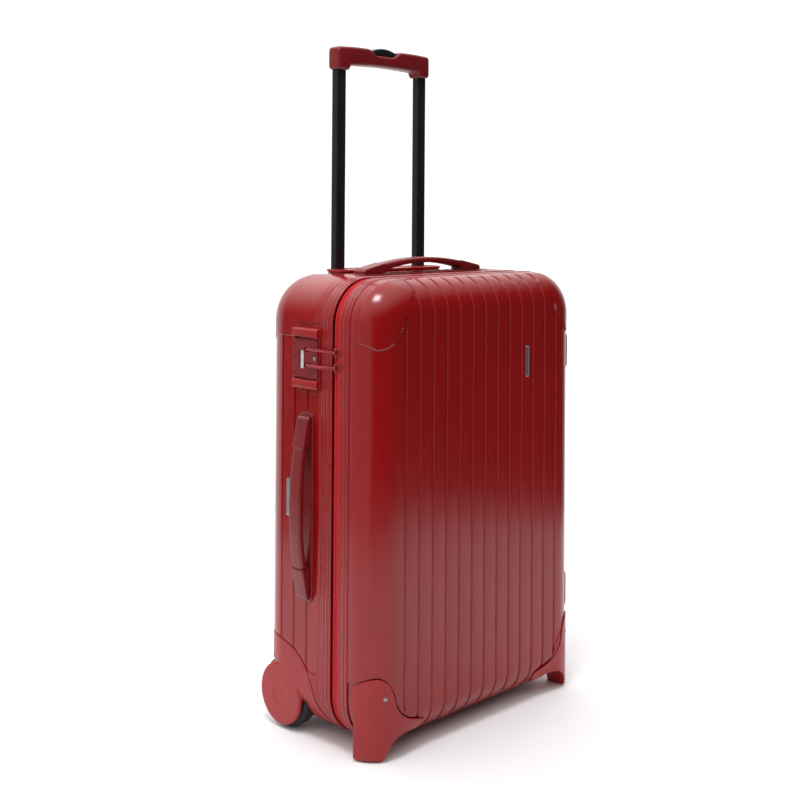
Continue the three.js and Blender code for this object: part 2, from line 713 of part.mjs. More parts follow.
function lockHousing() {
  const body = box([LOCK_FACE_X, -212], LOCK_Y, LOCK_Z);
  const ridge = (z0, z1) => {
    const profile = outline([
      [LOCK_FACE_X + 1, z0], [-235, z0], [BUMPER_X, z0 + 3], [BUMPER_X, z1 - 3], [-235, z1],
      [LOCK_FACE_X + 1, z1],
    ]);
    return prism('y', profile, [LOCK_Y[0] + 1, LOCK_Y[1] - 2.5]);
  };
  const dialBox = box([-240, DIAL_X + DIAL_RADIUS + 0.8], [DIAL_Y - 7.6, DIAL_Y + 7.6], [532.8, 561.2]);
  const spindle = rod('z', 1.6, [530, 564], [DIAL_X, DIAL_Y], 10);
  const releaseHole = rod('x', 3.5, [-240, -226], [RELEASE_Y, RELEASE_Z], 14);
  return join(body, ridge(LOCK_Z[1] - 15, LOCK_Z[1] - 1), ridge(LOCK_Z[0] + 1, LOCK_Z[0] + 14))
    .subtract(dialBox).subtract(releaseHole).add(spindle);
}

function lockCover() {
  const plate = prism('x', roundedRectangle(LOCK_Y[0] + 2, LOCK_Y[1] - 2, 521, 576.5, 3),
    [COVER_FACE_X, LOCK_FACE_X - GAP], 3);
  const window = prism('x', roundedRectangle(DIAL_Y - 4.7, DIAL_Y + 4.7, 533, 561, 1.2), [-240, -220], 2);
  let cover = plate.subtract(window).subtract(rod('x', 3.4, [-240, -220], [RELEASE_Y, RELEASE_Z], 14));
  for (const z of Object.values(PULL_Z)) {
    cover = cover.subtract(box([-240, -220], [50, 63.4], [z - 3.3, z + 3.3]));
  }
  return cover;
}

function numberDial(z) {
  const half = DIAL_PITCH / 2 - 0.2;
  const profile = [
    [1.95, z - half], [DIAL_RADIUS - 0.4, z - half], [DIAL_RADIUS, z - half + 0.6],
    [DIAL_RADIUS, z + half - 0.6], [DIAL_RADIUS - 0.4, z + half], [1.95, z + half],
  ];
  const geometry = new THREE.LatheGeometry([...profile, profile[0]].map(([r, h]) => new THREE.Vector2(r, h)), 14);
  geometry.rotateX(Math.PI / 2);
  geometry.translate(DIAL_X, DIAL_Y, 0);
  return solid(geometry);
}

function lockRelease() {
  return rod('x', 3, [-234.8, -228.6], [RELEASE_Y, RELEASE_Z], 14);
}

function zipSlider(z) {
  const plate = prism('x', roundedRectangle(-5.5, 5.5, z - 7, z + 7, 3), [-229.4, -226.8], 3);
  const bar = rod('z', 0.9, [z - 5.5, z + 5.5], [ZIP_BAR_X, 0], 8);
  const posts = [-1, 1].map((end) =>
    box([ZIP_BAR_X - 0.8, -229], [-1.6, 1.6], [z + end * 5.2 - 1.2, z + end * 5.2 + 1.2]));
  return join(plate, bar, ...posts);
}

// A flat strap that runs back from the slider's bar and dips into the lock's slot.
function zipPull(z) {
  const half = 0.8;
  const centre = [[ZIP_BAR_X - 1.6, 1.4], [-235.8, 27], [-235.9, 53], [-233.4, 61]];
  const strap = outline([
    ...centre.map(([x, y]) => [x - half, y]),
    ...centre.slice().reverse().map(([x, y]) => [x + half, y]),
  ]);
  const eye = rod('z', 2.5, [z - 2.3, z + 2.3], [ZIP_BAR_X, 0], 12);
  const bore = rod('z', 1.4, [z - 4, z + 4], [ZIP_BAR_X, 0], 12);
  return join(prism('z', strap, [z - 2.3, z + 2.3]), eye).subtract(bore);
}

// ---------------------------------------------------------------- assembly

const assembly = new THREE.Group();

function add(name, body, finish, place = null) {
  const geometry = geometryOf(body);
  if (place) geometry.applyMatrix4(place);
  const mesh = new THREE.Mesh(geometry, finish);
  mesh.name = name;
  assembly.add(mesh);
}

const SIDES = [['left', -1], ['right', 1]];

add('rear_shell', rearShell(), look.shell());
add('front_shell', frontShell(), look.shell());
for (const [name, side] of [['rear', 1], ['front', -1]]) {
  add(`${name}_rim_trim`, rimTrim(side), look.trim());
  add(`${name}_zip_tape`, zipTape(side), look.tape());
}
add('rear_lining', rearLining(), look.lining());
add('front_lining', frontLining(), look.lining());
add('hinge_strip', hingeStrip(), look.tape());
add('packing_straps', packingStraps(), look.black());
add('strap_buckle', strapBuckle(), look.black());

for (const [name, side] of SIDES) {
  add(`wheel_housing_${name}`, wheelHousing(side), look.trim());
  add(`axle_${name}`, axle(side), look.metal());
  add(`tyre_${name}`, tyre(side), look.rubber());
  add(`wheel_hub_${name}`, hub(side), look.black());
  add(`bearing_${name}`, bearing(side), look.metal());
  add(`front_foot_${name}`, side < 0 ? frontFootLeft() : mirrored(frontFootLeft()), look.trim());
  add(`foot_rivet_${name}`, footRivet(side), look.metal());
}

for (const [level, bottom] of [['upper', 505], ['lower', 115]]) {
  const rearBottom = Math.max(bottom, 140);
  add(`side_foot_front_${level}`, sideFoot([-50, -30], [bottom, bottom + 59]), look.trim());
  add(`side_foot_rear_${level}`, sideFoot([94, 120], [rearBottom, rearBottom + 59]), look.trim());
}

add('front_badge', badge('y', [94.85, 101.85], [506, 555], [FRONT_FACE - 1.5, FRONT_FACE - GAP]), look.metal());
add('side_badge', badge('x', [98.5, 105.5], [315, 370], [-CASE_HALF_WIDTH - 1.5, -CASE_HALF_WIDTH - GAP]), look.metal());

for (const [name, side] of SIDES) {
  add(`guide_tube_${name}`, guideTube(side), look.blackMetal());
  add(`trolley_pole_${name}`, pole(side), look.blackMetal());
  add(`push_rod_${name}`, pushRod(side), look.metal());
}
add('guide_tube_bridge', guideBridge(), look.black());
add('trolley_bezel', trolleyBezel(), look.trim());
add('trolley_grip', trolleyGrip(), look.handle());
add('trolley_button', trolleyButton(), look.black());
add('button_spring', buttonSpring(), look.metal());

for (const [name, place, ends] of [['top', onTop, ['left', 'right']], ['side', onSide, ['lower', 'upper']]]) {
  add(`${name}_handle_plate`, handlePlate(), look.handle(), place);
  add(`${name}_handle_grip`, handleGrip(), look.handle(), place);
  add(`${name}_handle_cap_${ends[0]}`, handleCap(-1), look.handle(), place);
  add(`${name}_handle_cap_${ends[1]}`, handleCap(1), look.handle(), place);
}

add('lock_housing', lockHousing(), look.trim());
add('lock_cover', lockCover(), look.handle());
add('lock_release', lockRelease(), look.metal());
for (const [i, z] of [DIAL_Z + DIAL_PITCH, DIAL_Z, DIAL_Z - DIAL_PITCH].entries()) {
  add(`number_dial_${i + 1}`, numberDial(z), look.white());
}
for (const [level, z] of Object.entries(PULL_Z)) {
  add(`zip_slider_${level}`, zipSlider(z), look.handle());
  add(`zip_pull_${level}`, zipPull(z), look.handle());
}

const bounds = new THREE.Box3().setFromObject(assembly);
const middle = bounds.getCenter(new THREE.Vector3());
assembly.position.set(-middle.x, -middle.y, -bounds.min.z);

export default assembly;
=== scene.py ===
"""Hard shell suitcase on two wheels with a telescopic trolley handle: the visual model.

Shapes are written in millimetres in a working frame: X = 0 on the case's mid-plane, Y = 0 on the
zipper plane (the lid is at -Y), Z = 0 on the floor. at() turns such a point into the row frame.
"""

from contextlib import contextmanager
from math import asin, copysign, cos, degrees, pi, radians, sin, sqrt

import bmesh
import bpy
import numpy as np
from mathutils import Matrix, Vector


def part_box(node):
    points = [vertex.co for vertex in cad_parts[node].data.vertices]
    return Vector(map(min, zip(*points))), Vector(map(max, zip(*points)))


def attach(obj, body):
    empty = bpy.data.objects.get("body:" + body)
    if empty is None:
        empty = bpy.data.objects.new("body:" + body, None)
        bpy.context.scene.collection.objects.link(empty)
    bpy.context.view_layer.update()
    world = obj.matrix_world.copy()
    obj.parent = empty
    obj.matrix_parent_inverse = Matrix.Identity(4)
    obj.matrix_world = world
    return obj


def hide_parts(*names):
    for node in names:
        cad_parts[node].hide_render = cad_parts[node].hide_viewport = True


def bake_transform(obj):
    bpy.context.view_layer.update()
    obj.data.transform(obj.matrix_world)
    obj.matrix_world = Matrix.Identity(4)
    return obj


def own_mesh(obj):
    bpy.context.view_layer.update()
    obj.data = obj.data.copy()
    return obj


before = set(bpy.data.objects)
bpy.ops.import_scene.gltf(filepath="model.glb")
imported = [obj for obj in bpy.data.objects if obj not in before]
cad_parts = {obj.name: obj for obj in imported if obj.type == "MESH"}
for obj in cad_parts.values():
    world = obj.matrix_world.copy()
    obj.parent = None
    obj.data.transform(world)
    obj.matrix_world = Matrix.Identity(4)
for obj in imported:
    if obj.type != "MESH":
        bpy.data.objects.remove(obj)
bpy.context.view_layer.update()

MM = 0.001

# ---- driving dimensions (mm)

CASE_HALF_WIDTH = 229
CASE_BOTTOM = 12
CASE_TOP = 665
FRONT_FACE = -79
BACK_FACE = 168
CORNER_RADIUS = 66
FRONT_EDGE_RADIUS = 50
BACK_EDGE_RADIUS = 55
WALL = 2.2
GAP = 0.3

GROOVE_PITCH = 28.1
GROOVE_DEPTH = 1.9
GROOVES_EACH_SIDE = 6
SIDE_GROOVES_Y = [32, 60, 88, 116]
SIDE_GROOVE_TOP = 611

RIM_END = 26.7
BEHIND_WHEELS_Y = BACK_FACE + 12

low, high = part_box("rear_shell")
ORIGIN = np.array([(low.x + high.x) / 2, high.y - BACK_FACE * MM, 0.0])


def at(points):
    """Points in the working frame as points in the row frame, in metres."""
    return np.asarray(points, float) * MM + ORIGIN


def span(node):
    """The lowest and highest corner of a CAD node, in the working frame."""
    return [(np.array(corner) - ORIGIN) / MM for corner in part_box(node)]


# ---- meshes

def placed(data):
    """A new object in the scene that holds a mesh, a camera or a light."""
    obj = bpy.data.objects.new("piece", data)
    bpy.context.scene.collection.objects.link(obj)
    return obj


@contextmanager
def editing(mesh):
    work = bmesh.new()
    work.from_mesh(mesh)
    yield work
    work.to_mesh(mesh)
    work.free()


def mesh_object(points, faces, merge=0.0):
    """A mesh object from points in the working frame."""
    mesh = bpy.data.meshes.new("piece")
    mesh.from_pydata(at(points).tolist(), [], [tuple(map(int, f)) for f in faces])
    if merge:
        with editing(mesh) as work:
            bmesh.ops.remove_doubles(work, verts=work.verts, dist=merge * MM)
            bmesh.ops.dissolve_degenerate(work, edges=work.edges, dist=merge * MM)
    mesh.validate()
    return placed(mesh)


def face_outwards(obj):
    with editing(obj.data) as work:
        bmesh.ops.recalc_face_normals(work, faces=work.faces)
    return obj


def apply_modifiers(obj):
    graph = bpy.context.evaluated_depsgraph_get()
    mesh = bpy.data.meshes.new_from_object(obj.evaluated_get(graph))
    obj.modifiers.clear()
    old = obj.data
    obj.data = mesh
    bpy.data.meshes.remove(old)
    return obj


def modify(obj, kind, **settings):
    """Adds a modifier, sets it and applies it. Lengths are in metres, as Blender takes them."""
    modifier = obj.modifiers.new(kind.lower(), kind)
    for key, value in settings.items():
        setattr(modifier, key, value)
    return apply_modifiers(obj)


def boolean(obj, other, operation="DIFFERENCE"):
    modify(obj, "BOOLEAN", operation=operation, solver="MANIFOLD", object=other)
    bpy.data.objects.remove(other)
    return obj


def bevel(obj, width, segments=3, angle=30):
    return modify(obj, "BEVEL", width=width * MM, segments=segments, limit_method="ANGLE",
                  angle_limit=radians(angle), use_clamp_overlap=True)


def soften(obj, voxel, rounds):
    """Melts a sharp solid into one skin with rounded edges, as a moulded part has."""
    modify(obj, "REMESH", mode="VOXEL", voxel_size=voxel * MM)
    return modify(obj, "SMOOTH", factor=0.5, iterations=rounds)


def join(objects):
    """Several mesh objects as one."""
    mesh = bpy.data.meshes.new("piece")
    work = bmesh.new()
    for obj in objects:
        work.from_mesh(obj.data)
        bpy.data.objects.remove(obj)
    work.to_mesh(mesh)
    work.free()
    return placed(mesh)


def dress(obj, name, material, body, stands_for=None, sharp=35):
    """Finishes a piece: name, smooth shading, material, the body it rides on, what it stands for."""
    obj.name = name
    mesh = obj.data
    mesh.shade_smooth()
    mesh.set_sharp_from_angle(angle=radians(sharp))
    mesh.materials.clear()
    mesh.materials.append(material)
    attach(obj, body)
    if stands_for:
        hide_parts(stands_for)
    return obj


def grid_faces(rows, columns, close_rows=False, close_columns=False, start=0):
    faces = []
    for r in range(rows if close_rows else rows - 1):
        for c in range(columns if close_columns else columns - 1):
            r2, c2 = (r + 1) % rows, (c + 1) % columns
            faces.append([start + r * columns + c, start + r * columns + c2,
                          start + r2 * columns + c2, start + r2 * columns + c])
    return faces


def loft(sections, closed=False, caps=True):
    """A skin over closed sections with equal numbers of points."""
    sections = np.asarray(sections, float)
    rows, columns = sections.shape[:2]
    faces = grid_faces(rows, columns, close_rows=closed, close_columns=True)
    if caps and not closed:
        faces.append(list(range(columns))[::-1])
        faces.append(list(range((rows - 1) * columns, rows * columns)))
    return face_outwards(mesh_object(sections.reshape(-1, 3), faces))


def full_turn(steps):
    """The angles of a closed circle's points."""
    return [2 * pi * i / steps for i in range(steps)]


AXES = {"x": (1, 2, 0), "y": (0, 2, 1), "z": (0, 1, 2)}


def in_axis(axis, outline, station):
    """Outline points at a station along an axis. 'x': (y, z); 'y': (x, z); 'z': (x, y)."""
    a, b, along = AXES[axis]
    points = np.zeros((len(outline), 3))
    points[:, a], points[:, b] = np.asarray(outline, float).T
    points[:, along] = station
    return points


def prism(axis, outline, start, end):
    return loft([in_axis(axis, outline, start), in_axis(axis, outline, end)])


def rounded_rectangle(a0, a1, b0, b1, radius, steps=6):
    centres = [(a1 - radius, b0 + radius, -90), (a1 - radius, b1 - radius, 0),
               (a0 + radius, b1 - radius, 90), (a0 + radius, b0 + radius, 180)]
    points = []
    for ca, cb, start in centres:
        for i in range(steps + 1):
            t = radians(start + 90 * i / steps)
            points.append((ca + radius * cos(t), cb + radius * sin(t)))
    return points


def cut(obj, axis, outline, start, end):
    return boolean(obj, prism(axis, outline, start, end))


def oval(a, b, half_a, half_b, radius, steps=6):
    """A rounded rectangle about a centre."""
    return rounded_rectangle(a - half_a, a + half_a, b - half_b, b + half_b, radius, steps)


def box(x, y, z):
    return prism("z", [(x[0], y[0]), (x[1], y[0]), (x[1], y[1]), (x[0], y[1])], *z)


def turned(axis, profile, centre, steps=48):
    """A closed profile of (station, radius) turned about an axis through centre."""
    sections = []
    a, b, along = AXES[axis]
    for t in full_turn(steps):
        points = np.zeros((len(profile), 3))
        for n, (station, radius) in enumerate(profile):
            points[n, a] = centre[0] + radius * cos(t)
            points[n, b] = centre[1] + radius * sin(t)
            points[n, along] = station
        sections.append(points)
    return loft(sections, closed=True)


def disc(axis, radius, start, end, centre, steps=48):
    circle = [(centre[0] + radius * cos(t), centre[1] + radius * sin(t)) for t in full_turn(steps)]
    return prism(axis, circle, start, end)


def bezier(p0, p1, p2, p3, steps=10):
    t = np.linspace(0, 1, steps + 1)[:, None]
    p0, p1, p2, p3 = (np.array(p, float) for p in (p0, p1, p2, p3))
    return (p0 * (1 - t)**3 + 3 * p1 * t * (1 - t)**2 + 3 * p2 * t * t * (1 - t) + p3 * t**3).tolist()


def smoothstep(x, start, end):
    t = np.clip((np.asarray(x, float) - start) / (end - start), 0, 1)
    return t * t * (3 - 2 * t)


# ---- materials

class Paint:
    """One procedural material: a Principled shader and the few nodes that feed it."""

    def __init__(self, name, **sockets):
        self.material = bpy.data.materials.new(name)
        self.material.use_nodes = True
        self.tree = self.material.node_tree
        self.shader = self.tree.nodes["Principled BSDF"]
        for socket, value in sockets.items():
            self.shader.inputs[socket.replace("_", " ")].default_value = value
        self.coordinates = self.add("ShaderNodeTexCoord").outputs["Object"]
        self.normal = None

    def add(self, kind, inputs=None, **settings):
        node = self.tree.nodes.new(kind)
        for key, value in settings.items():
            setattr(node, key, value)
        for key, value in (inputs or {}).items():
            if isinstance(value, bpy.types.NodeSocket):
                self.tree.links.new(value, node.inputs[key])
            else:
                node.inputs[key].default_value = value
        return node

    def stretched(self, scale):
        inputs = {"Vector": self.coordinates, "Scale": scale}
        return self.add("ShaderNodeMapping", inputs).outputs["Vector"]

    def noise(self, scale, detail=2.0, roughness=0.5, vector=None):
        inputs = {"Vector": vector or self.coordinates, "Scale": scale}
        inputs.update({"Detail": detail, "Roughness": roughness})
        return self.add("ShaderNodeTexNoise", inputs).outputs["Fac"]

    def wave(self, scale, vector=None):
        inputs = {"Vector": vector or self.coordinates, "Scale": scale}
        return self.add("ShaderNodeTexWave", inputs, bands_direction="DIAGONAL").outputs["Fac"]

    def between(self, value, start, end, low=0.0, high=1.0):
        inputs = {"Value": value, "From Min": start, "From Max": end, "To Min": low, "To Max": high}
        return self.add("ShaderNodeMapRange", inputs).outputs["Result"]

    def maths(self, operation, a, b):
        return self.add("ShaderNodeMath", {0: a, 1: b}, operation=operation).outputs[0]

    def mixed(self, factor, a, b):
        return self.add("ShaderNodeMix", {0: factor, 6: a, 7: b}, data_type="RGBA").outputs[2]

    def feed(self, socket, value):
        self.tree.links.new(value, self.shader.inputs[socket])

    def bump(self, height, distance, strength=1.0):
        inputs = {"Height": height, "Distance": distance * MM, "Strength": strength}
        if self.normal:
            inputs["Normal"] = self.normal
        self.normal = self.add("ShaderNodeBump", inputs).outputs["Normal"]
        self.feed("Normal", self.normal)


def srgb(r, g, b):
    """An sRGB colour from 0 to 255 as the shader's linear colour."""
    shares = (r / 255, g / 255, b / 255)
    linear = [c / 12.92 if c <= 0.04045 else ((c + 0.055) / 1.055)**2.4 for c in shares]
    return (*linear, 1.0)


def moulded(name, base, deep, roughness, grain_scale, grain_height):
    """Moulded plastic: slightly mottled colour, uneven gloss and a fine grain."""
    paint = Paint(name, IOR=1.5)
    paint.feed("Base Color", paint.mixed(paint.between(paint.noise(7, 3), 0.35, 0.65), deep, base))
    paint.feed("Roughness", paint.between(paint.noise(40, 3), 0.3, 0.7, roughness - 0.03, roughness + 0.04))
    paint.bump(paint.noise(grain_scale, 3, 0.6), grain_height, 0.6)
    return paint.material


def woven(name, base, deep, threads, height, roughness=0.8, sheen=0.3):
    """Plain weave: two crossed sets of threads with slubs."""
    paint = Paint(name, Sheen_Weight=sheen, Sheen_Roughness=0.5, Roughness=roughness)
    warp = paint.wave(threads)
    weft = paint.wave(threads, paint.stretched((1, -1, -1)))
    weave = paint.maths("MULTIPLY", warp, weft)
    slub = paint.noise(30, 3)
    paint.feed("Base Color", paint.mixed(paint.maths("MULTIPLY", weave, slub), deep, base))
    paint.feed("Roughness", paint.between(slub, 0.3, 0.7, roughness - 0.08, roughness + 0.08))
    paint.bump(weave, height)
    paint.bump(paint.noise(400, 2), height * 0.4)
    return paint.material


def metal(name, base, deep, roughness, brushed=(1, 1, 0.03), metallic=1.0):
    """Brushed metal: long fine streaks in colour, gloss and height."""
    paint = Paint(name, Metallic=metallic)
    streaks = paint.noise(900, 2, 0.5, paint.stretched(brushed))
    paint.feed("Base Color", paint.mixed(streaks, deep, base))
    paint.feed("Roughness", paint.between(streaks, 0.3, 0.7, roughness - 0.06, roughness + 0.08))
    paint.bump(streaks, 0.015, 0.4)
    return paint.material


SHELL = moulded("shell_polycarbonate", srgb(146, 10, 12), srgb(140, 9, 11), 0.19, 700, 0.004)
TRIM = moulded("trim_plastic", srgb(146, 16, 20), srgb(138, 13, 17), 0.28, 900, 0.008)
CASING = moulded("casing_plastic", srgb(156, 16, 18), srgb(148, 13, 15), 0.36, 1400, 0.02)
HANDLE = moulded("handle_plastic", srgb(126, 20, 26), srgb(114, 16, 21), 0.36, 1600, 0.02)
TAPE = woven("zip_tape_weave", srgb(206, 14, 26), srgb(176, 10, 20), 520, 0.06, 0.9, 0.0)
BLACK = moulded("black_plastic", srgb(30, 29, 32), srgb(18, 18, 20), 0.38, 1200, 0.03)
POLE = metal("pole_anodised", srgb(44, 42, 46), srgb(34, 33, 36), 0.34, metallic=0.5)
STEEL = metal("steel", srgb(176, 176, 180), srgb(140, 140, 146), 0.3)
TUBE = metal("guide_tube_aluminium", srgb(168, 170, 174), srgb(134, 136, 142), 0.38, brushed=(1, 1, 0.04))
BEARING = metal("bearing_steel", srgb(196, 196, 200), srgb(150, 150, 158), 0.22, brushed=(1, 0.3, 0.3))
SILVER = metal("badge_silver", srgb(196, 196, 200), srgb(150, 150, 156), 0.34, brushed=(1, 1, 0.2))
RUBBER = moulded("tyre_rubber", srgb(38, 38, 40), srgb(26, 26, 28), 0.72, 500, 0.08)
LINING = woven("lining_weave", srgb(58, 58, 64), srgb(34, 34, 40), 420, 0.06)
WEBBING = woven("webbing_weave", srgb(40, 40, 44), srgb(18, 18, 20), 300, 0.18)
WHITE = moulded("dial_plastic", srgb(234, 232, 228), srgb(222, 220, 216), 0.35, 900, 0.01)
INK = moulded("dial_ink", srgb(30, 30, 34), srgb(20, 20, 24), 0.5, 900, 0.01)
TEETH = moulded("zip_nylon", srgb(200, 16, 28), srgb(180, 12, 22), 0.4, 900, 0.01)
SLIDER = moulded("slider_lacquer", srgb(150, 26, 38), srgb(132, 20, 30), 0.34, 800, 0.02)

# ---- the case's two shells

PATCH_EDGE_X = [140.5, 148, 160, 173, 191, 202, 213, 224, 240]
PATCH_EDGE_Z = [650, 643, 629, 603, 578, 571, 569, 577, 583]
PATCH_RISE = 1.3
PANEL_CROWN = 0.35
BEAD_Y = 31.5
MIDDLE_Z = (CASE_BOTTOM + CASE_TOP) / 2
FLANK_STEPS = (1.9, 2.2, 2.5, 2.8, 3.1)  # distances from a groove's middle down its flank
CLOSE_INSET = 56  # the inset at which the corner arcs close on a straight line


def arc_stations(radius, face, side):
    """(inset, y, tilt) from the rim over the edge's rounding to the flat face."""
    start = RIM_END + GAP
    end = abs(face) - radius
    stops = [start, start + 0.4, start + 1.2] + [BEAD_Y + d for d in (-1.2, -0.5, 0, 0.5, 1.2)]
    if side > 0:
        for y in SIDE_GROOVES_Y[1:]:
            stops += [y + d for d in (0, *FLANK_STEPS, 3.4)] + [y - d for d in (*FLANK_STEPS, 3.4)]
        stops += [38, 44, 50, 70, 74, 78, 98, 104]
    else:
        stops += [36, 42]
    rows = [(0.0, side * y, 0.0) for y in sorted(stops) if y < end]
    turned_past = [degrees(asin((y - end) / radius)) for y in stops if y >= end]
    for angle in sorted(set([90 * i / 32 for i in range(33)] + turned_past)):
        t = radians(angle)
        rows.append((radius * (1 - cos(t)), side * (end + radius * sin(t)), t))
    rows += [(e, side * abs(face), pi / 2) for e in np.linspace(radius, CLOSE_INSET, 3)[1:]]
    return rows


def groove_stations():
    """X stations across the grooved faces, close together on each groove's flanks."""
    stations = {-173.0, 173.0}
    for k in range(-GROOVES_EACH_SIDE, GROOVES_EACH_SIDE + 1):
        stations.add(k * GROOVE_PITCH)
        for d in (*FLANK_STEPS, 3.6):
            stations.update((k * GROOVE_PITCH - d, k * GROOVE_PITCH + d))
        if k < GROOVES_EACH_SIDE:
            stations.update(k * GROOVE_PITCH + d for d in (6.5, 10.3, 14.05, 17.8, 21.6))
    return sorted(stations)


def height_stations():
    """Z stations down the straight part of the case, closer together where relief ends."""
    top = CASE_TOP - CORNER_RADIUS
    bottom = CASE_BOTTOM + CORNER_RADIUS
    stations = set(np.linspace(top, bottom, 53))
    for z in np.arange(565, top, 1.3):
        stations.update((z, 2 * MIDDLE_Z - z))
    for z in [top - d for d in (1.5, 3, 4.5, 6)] + [bottom + d for d in (1.5, 3, 4.5, 6)]:
        stations.add(z)
    for z in (498, 600, 470, 200):
        stations.update(z + d for d in (-2, -1, 0, 1, 2) if z + d <= top)
    return sorted(stations, reverse=True)


def relief(x, y, z, tilt, side):
    """How far the surface stands out (+) or in (-) along its normal."""
    out = np.zeros_like(x)
    wide = np.abs(x)
    from_middle = np.abs(z - MIDDLE_Z)
    patch_z = np.interp(wide, PATCH_EDGE_X, np.array(PATCH_EDGE_Z) - MIDDLE_Z)
    patch = smoothstep(from_middle - patch_z, -0.6, 0.8) * (wide > 140) * smoothstep(np.abs(y), 38, 46)
    index = np.round(x / GROOVE_PITCH)
    outermost = np.abs(index) >= GROOVES_EACH_SIDE
    index = np.clip(index, -GROOVES_EACH_SIDE, GROOVES_EACH_SIDE)
    across = np.abs(x - index * GROOVE_PITCH)
    faced = (wide <= 173.01)
    inside = 1 - smoothstep(across, 1.9, 3.1)
    reach = smoothstep(np.abs(y), 36, 44)
    ended = np.where(outermost, 1 - patch, 1.0)
    out -= faced * GROOVE_DEPTH * inside * reach * ended
    crown = 1 - np.clip((GROOVE_PITCH / 2 - across) / 11, 0, 1)**2
    out += faced * PANEL_CROWN * crown * smoothstep(across, 3, 4) * reach * (1 - patch) * (wide < 169)
    out += PATCH_RISE * patch
    walls = (wide > 190) & (tilt < 0.5)
    if side > 0:
        for groove in SIDE_GROOVES_Y[1:]:
            cut = 1 - smoothstep(np.abs(y - groove), 1.9, 3.1)
            top = SIDE_GROOVE_TOP - MIDDLE_Z
            open_part = 1 - smoothstep(from_middle, top - 2, top)
            if groove == 60:
                open_part = open_part * (1 - ((z > 198) & (z < 472) & (x < 0)))
            out -= walls * GROOVE_DEPTH * cut * open_part * (1 - patch)
        lock = smoothstep(np.minimum(26 - np.abs(y - 57), 51 - np.abs(z - 549)), -0.5, 1.0)
        out -= walls * (x < 0) * 0.9 * lock
    bead = 1 - smoothstep(np.abs(np.abs(y) - BEAD_Y), 0.2, 1.2)
    out -= 0.45 * bead
    return out


def rim_drop(y):
    """The rounded lip where the shell meets the rim trim."""
    d = np.abs(y) - (RIM_END + GAP)
    return 0.8 * (1 - np.clip(d / 1.2, 0, 1))**2


def shell_skin(face, radius):
    side = 1 if face > 0 else -1
    rows = arc_stations(radius, face, side)
    columns, heights = groove_stations(), height_stations()
    arc_centre = CASE_HALF_WIDTH - CORNER_RADIUS
    centre_z = CASE_TOP - CORNER_RADIUS - MIDDLE_Z
    points, normals, tilts, faces = [], [], [], []

    def add_point(x, y, z, n, tilt):
        points.append((x, y, z))
        normals.append(n)
        tilts.append(tilt)

    # Zone A: columns that run from the rim over the top, down the face and under the bottom.
    for x in columns:
        past = max(0.0, abs(x) - arc_centre)
        over = []
        for e, y, tilt in rows:
            r = CORNER_RADIUS - e
            up = sqrt(max(0.0, r * r - past * past))
            flat = cos(tilt)
            n = (copysign(past / r, x) * flat, side * sin(tilt), up / r * flat)
            over.append((y, centre_z + up, n, tilt))
        for y, z, n, tilt in over:
            add_point(x, y, MIDDLE_Z + z, n, tilt)
        for z in heights[1:-1]:
            add_point(x, face, z, (0, side, 0), pi / 2)
        for y, z, n, tilt in reversed(over):
            add_point(x, y, MIDDLE_Z - z, (n[0], n[1], -n[2]), tilt)
    per_column = 2 * len(rows) + len(heights) - 2
    faces += grid_faces(len(columns), per_column)

    # Zone B: rows that run round both corners and down the side.
    turns = np.concatenate([np.linspace(0, 0.86, 10)[:-1], np.linspace(0.86, 1, 9)])
    for hand in (-1, 1):
        start = len(points)
        for e, y, tilt in rows:
            r = CORNER_RADIUS - e
            first = asin(min(1.0, (173 - arc_centre) / r))
            angles = [first + (pi / 2 - first) * t for t in turns]
            corner = [(sin(angle), cos(angle)) for angle in angles]
            flat = (cos(tilt), side * sin(tilt))
            for s, c in corner:
                add_point(hand * (arc_centre + r * s), y, MIDDLE_Z + centre_z + r * c,
                          (hand * s * flat[0], flat[1], c * flat[0]), tilt)
            for z in heights[1:-1]:
                add_point(hand * (CASE_HALF_WIDTH - e), y, z, (hand * flat[0], flat[1], 0), tilt)
            for s, c in reversed(corner):
                add_point(hand * (arc_centre + r * s), y, MIDDLE_Z - centre_z - r * c,
                          (hand * s * flat[0], flat[1], -c * flat[0]), tilt)
        per_row = 2 * len(turns) + len(heights) - 2
        faces += grid_faces(len(rows), per_row, start=start)

    p, n = np.array(points), np.array(normals)
    out = relief(p[:, 0], p[:, 1], p[:, 2], np.array(tilts), side) - rim_drop(p[:, 1])
    return p + n * out[:, None], faces


def shell(face, radius):
    points, faces = shell_skin(face, radius)
    obj = face_outwards(mesh_object(points, faces, merge=0.01))
    modify(obj, "SOLIDIFY", thickness=WALL * MM, offset=-1, use_rim=True)
    return face_outwards(obj)


# ---- wheel housing regions

HOUSING_FRONT_Y = 27.6
HOUSING_INNER_X = 184


def housing_outline(grow):
    """Side view (y, z) of the corner that a wheel housing fills."""
    front = HOUSING_FRONT_Y - grow
    points = [(BEHIND_WHEELS_Y, 134 + grow), (132, 134 + grow)]
    points += bezier((132, 134 + grow), (88 - grow, 131 + grow), (60 - grow, 110 + grow),
                     (48 - grow, 78 + grow), 16)[1:]
    points += bezier((48 - grow, 78 + grow), (40 - grow, 56 + grow), (37 - grow, 42 + grow),
                     (front, 34 + grow), 10)[1:]
    return points + [(front, -2), (BEHIND_WHEELS_Y, -2)]


def housing_region(side, grow):
    inner, outer = side * (HOUSING_INNER_X - grow), side * 245
    return prism("x", housing_outline(grow), min(inner, outer), max(inner, outer))


# ---- rims, tapes, zip teeth

def case_loop(offset, y, steps=14):
    """One loop round the case at depth y, grown by offset from the outer side walls."""
    radius = max(CORNER_RADIUS + offset, 9)
    half = CASE_HALF_WIDTH + offset
    bottom, top = CASE_BOTTOM - offset, CASE_TOP + offset
    outline = rounded_rectangle(-half, half, bottom, top, radius, steps)
    return in_axis("y", outline, y)


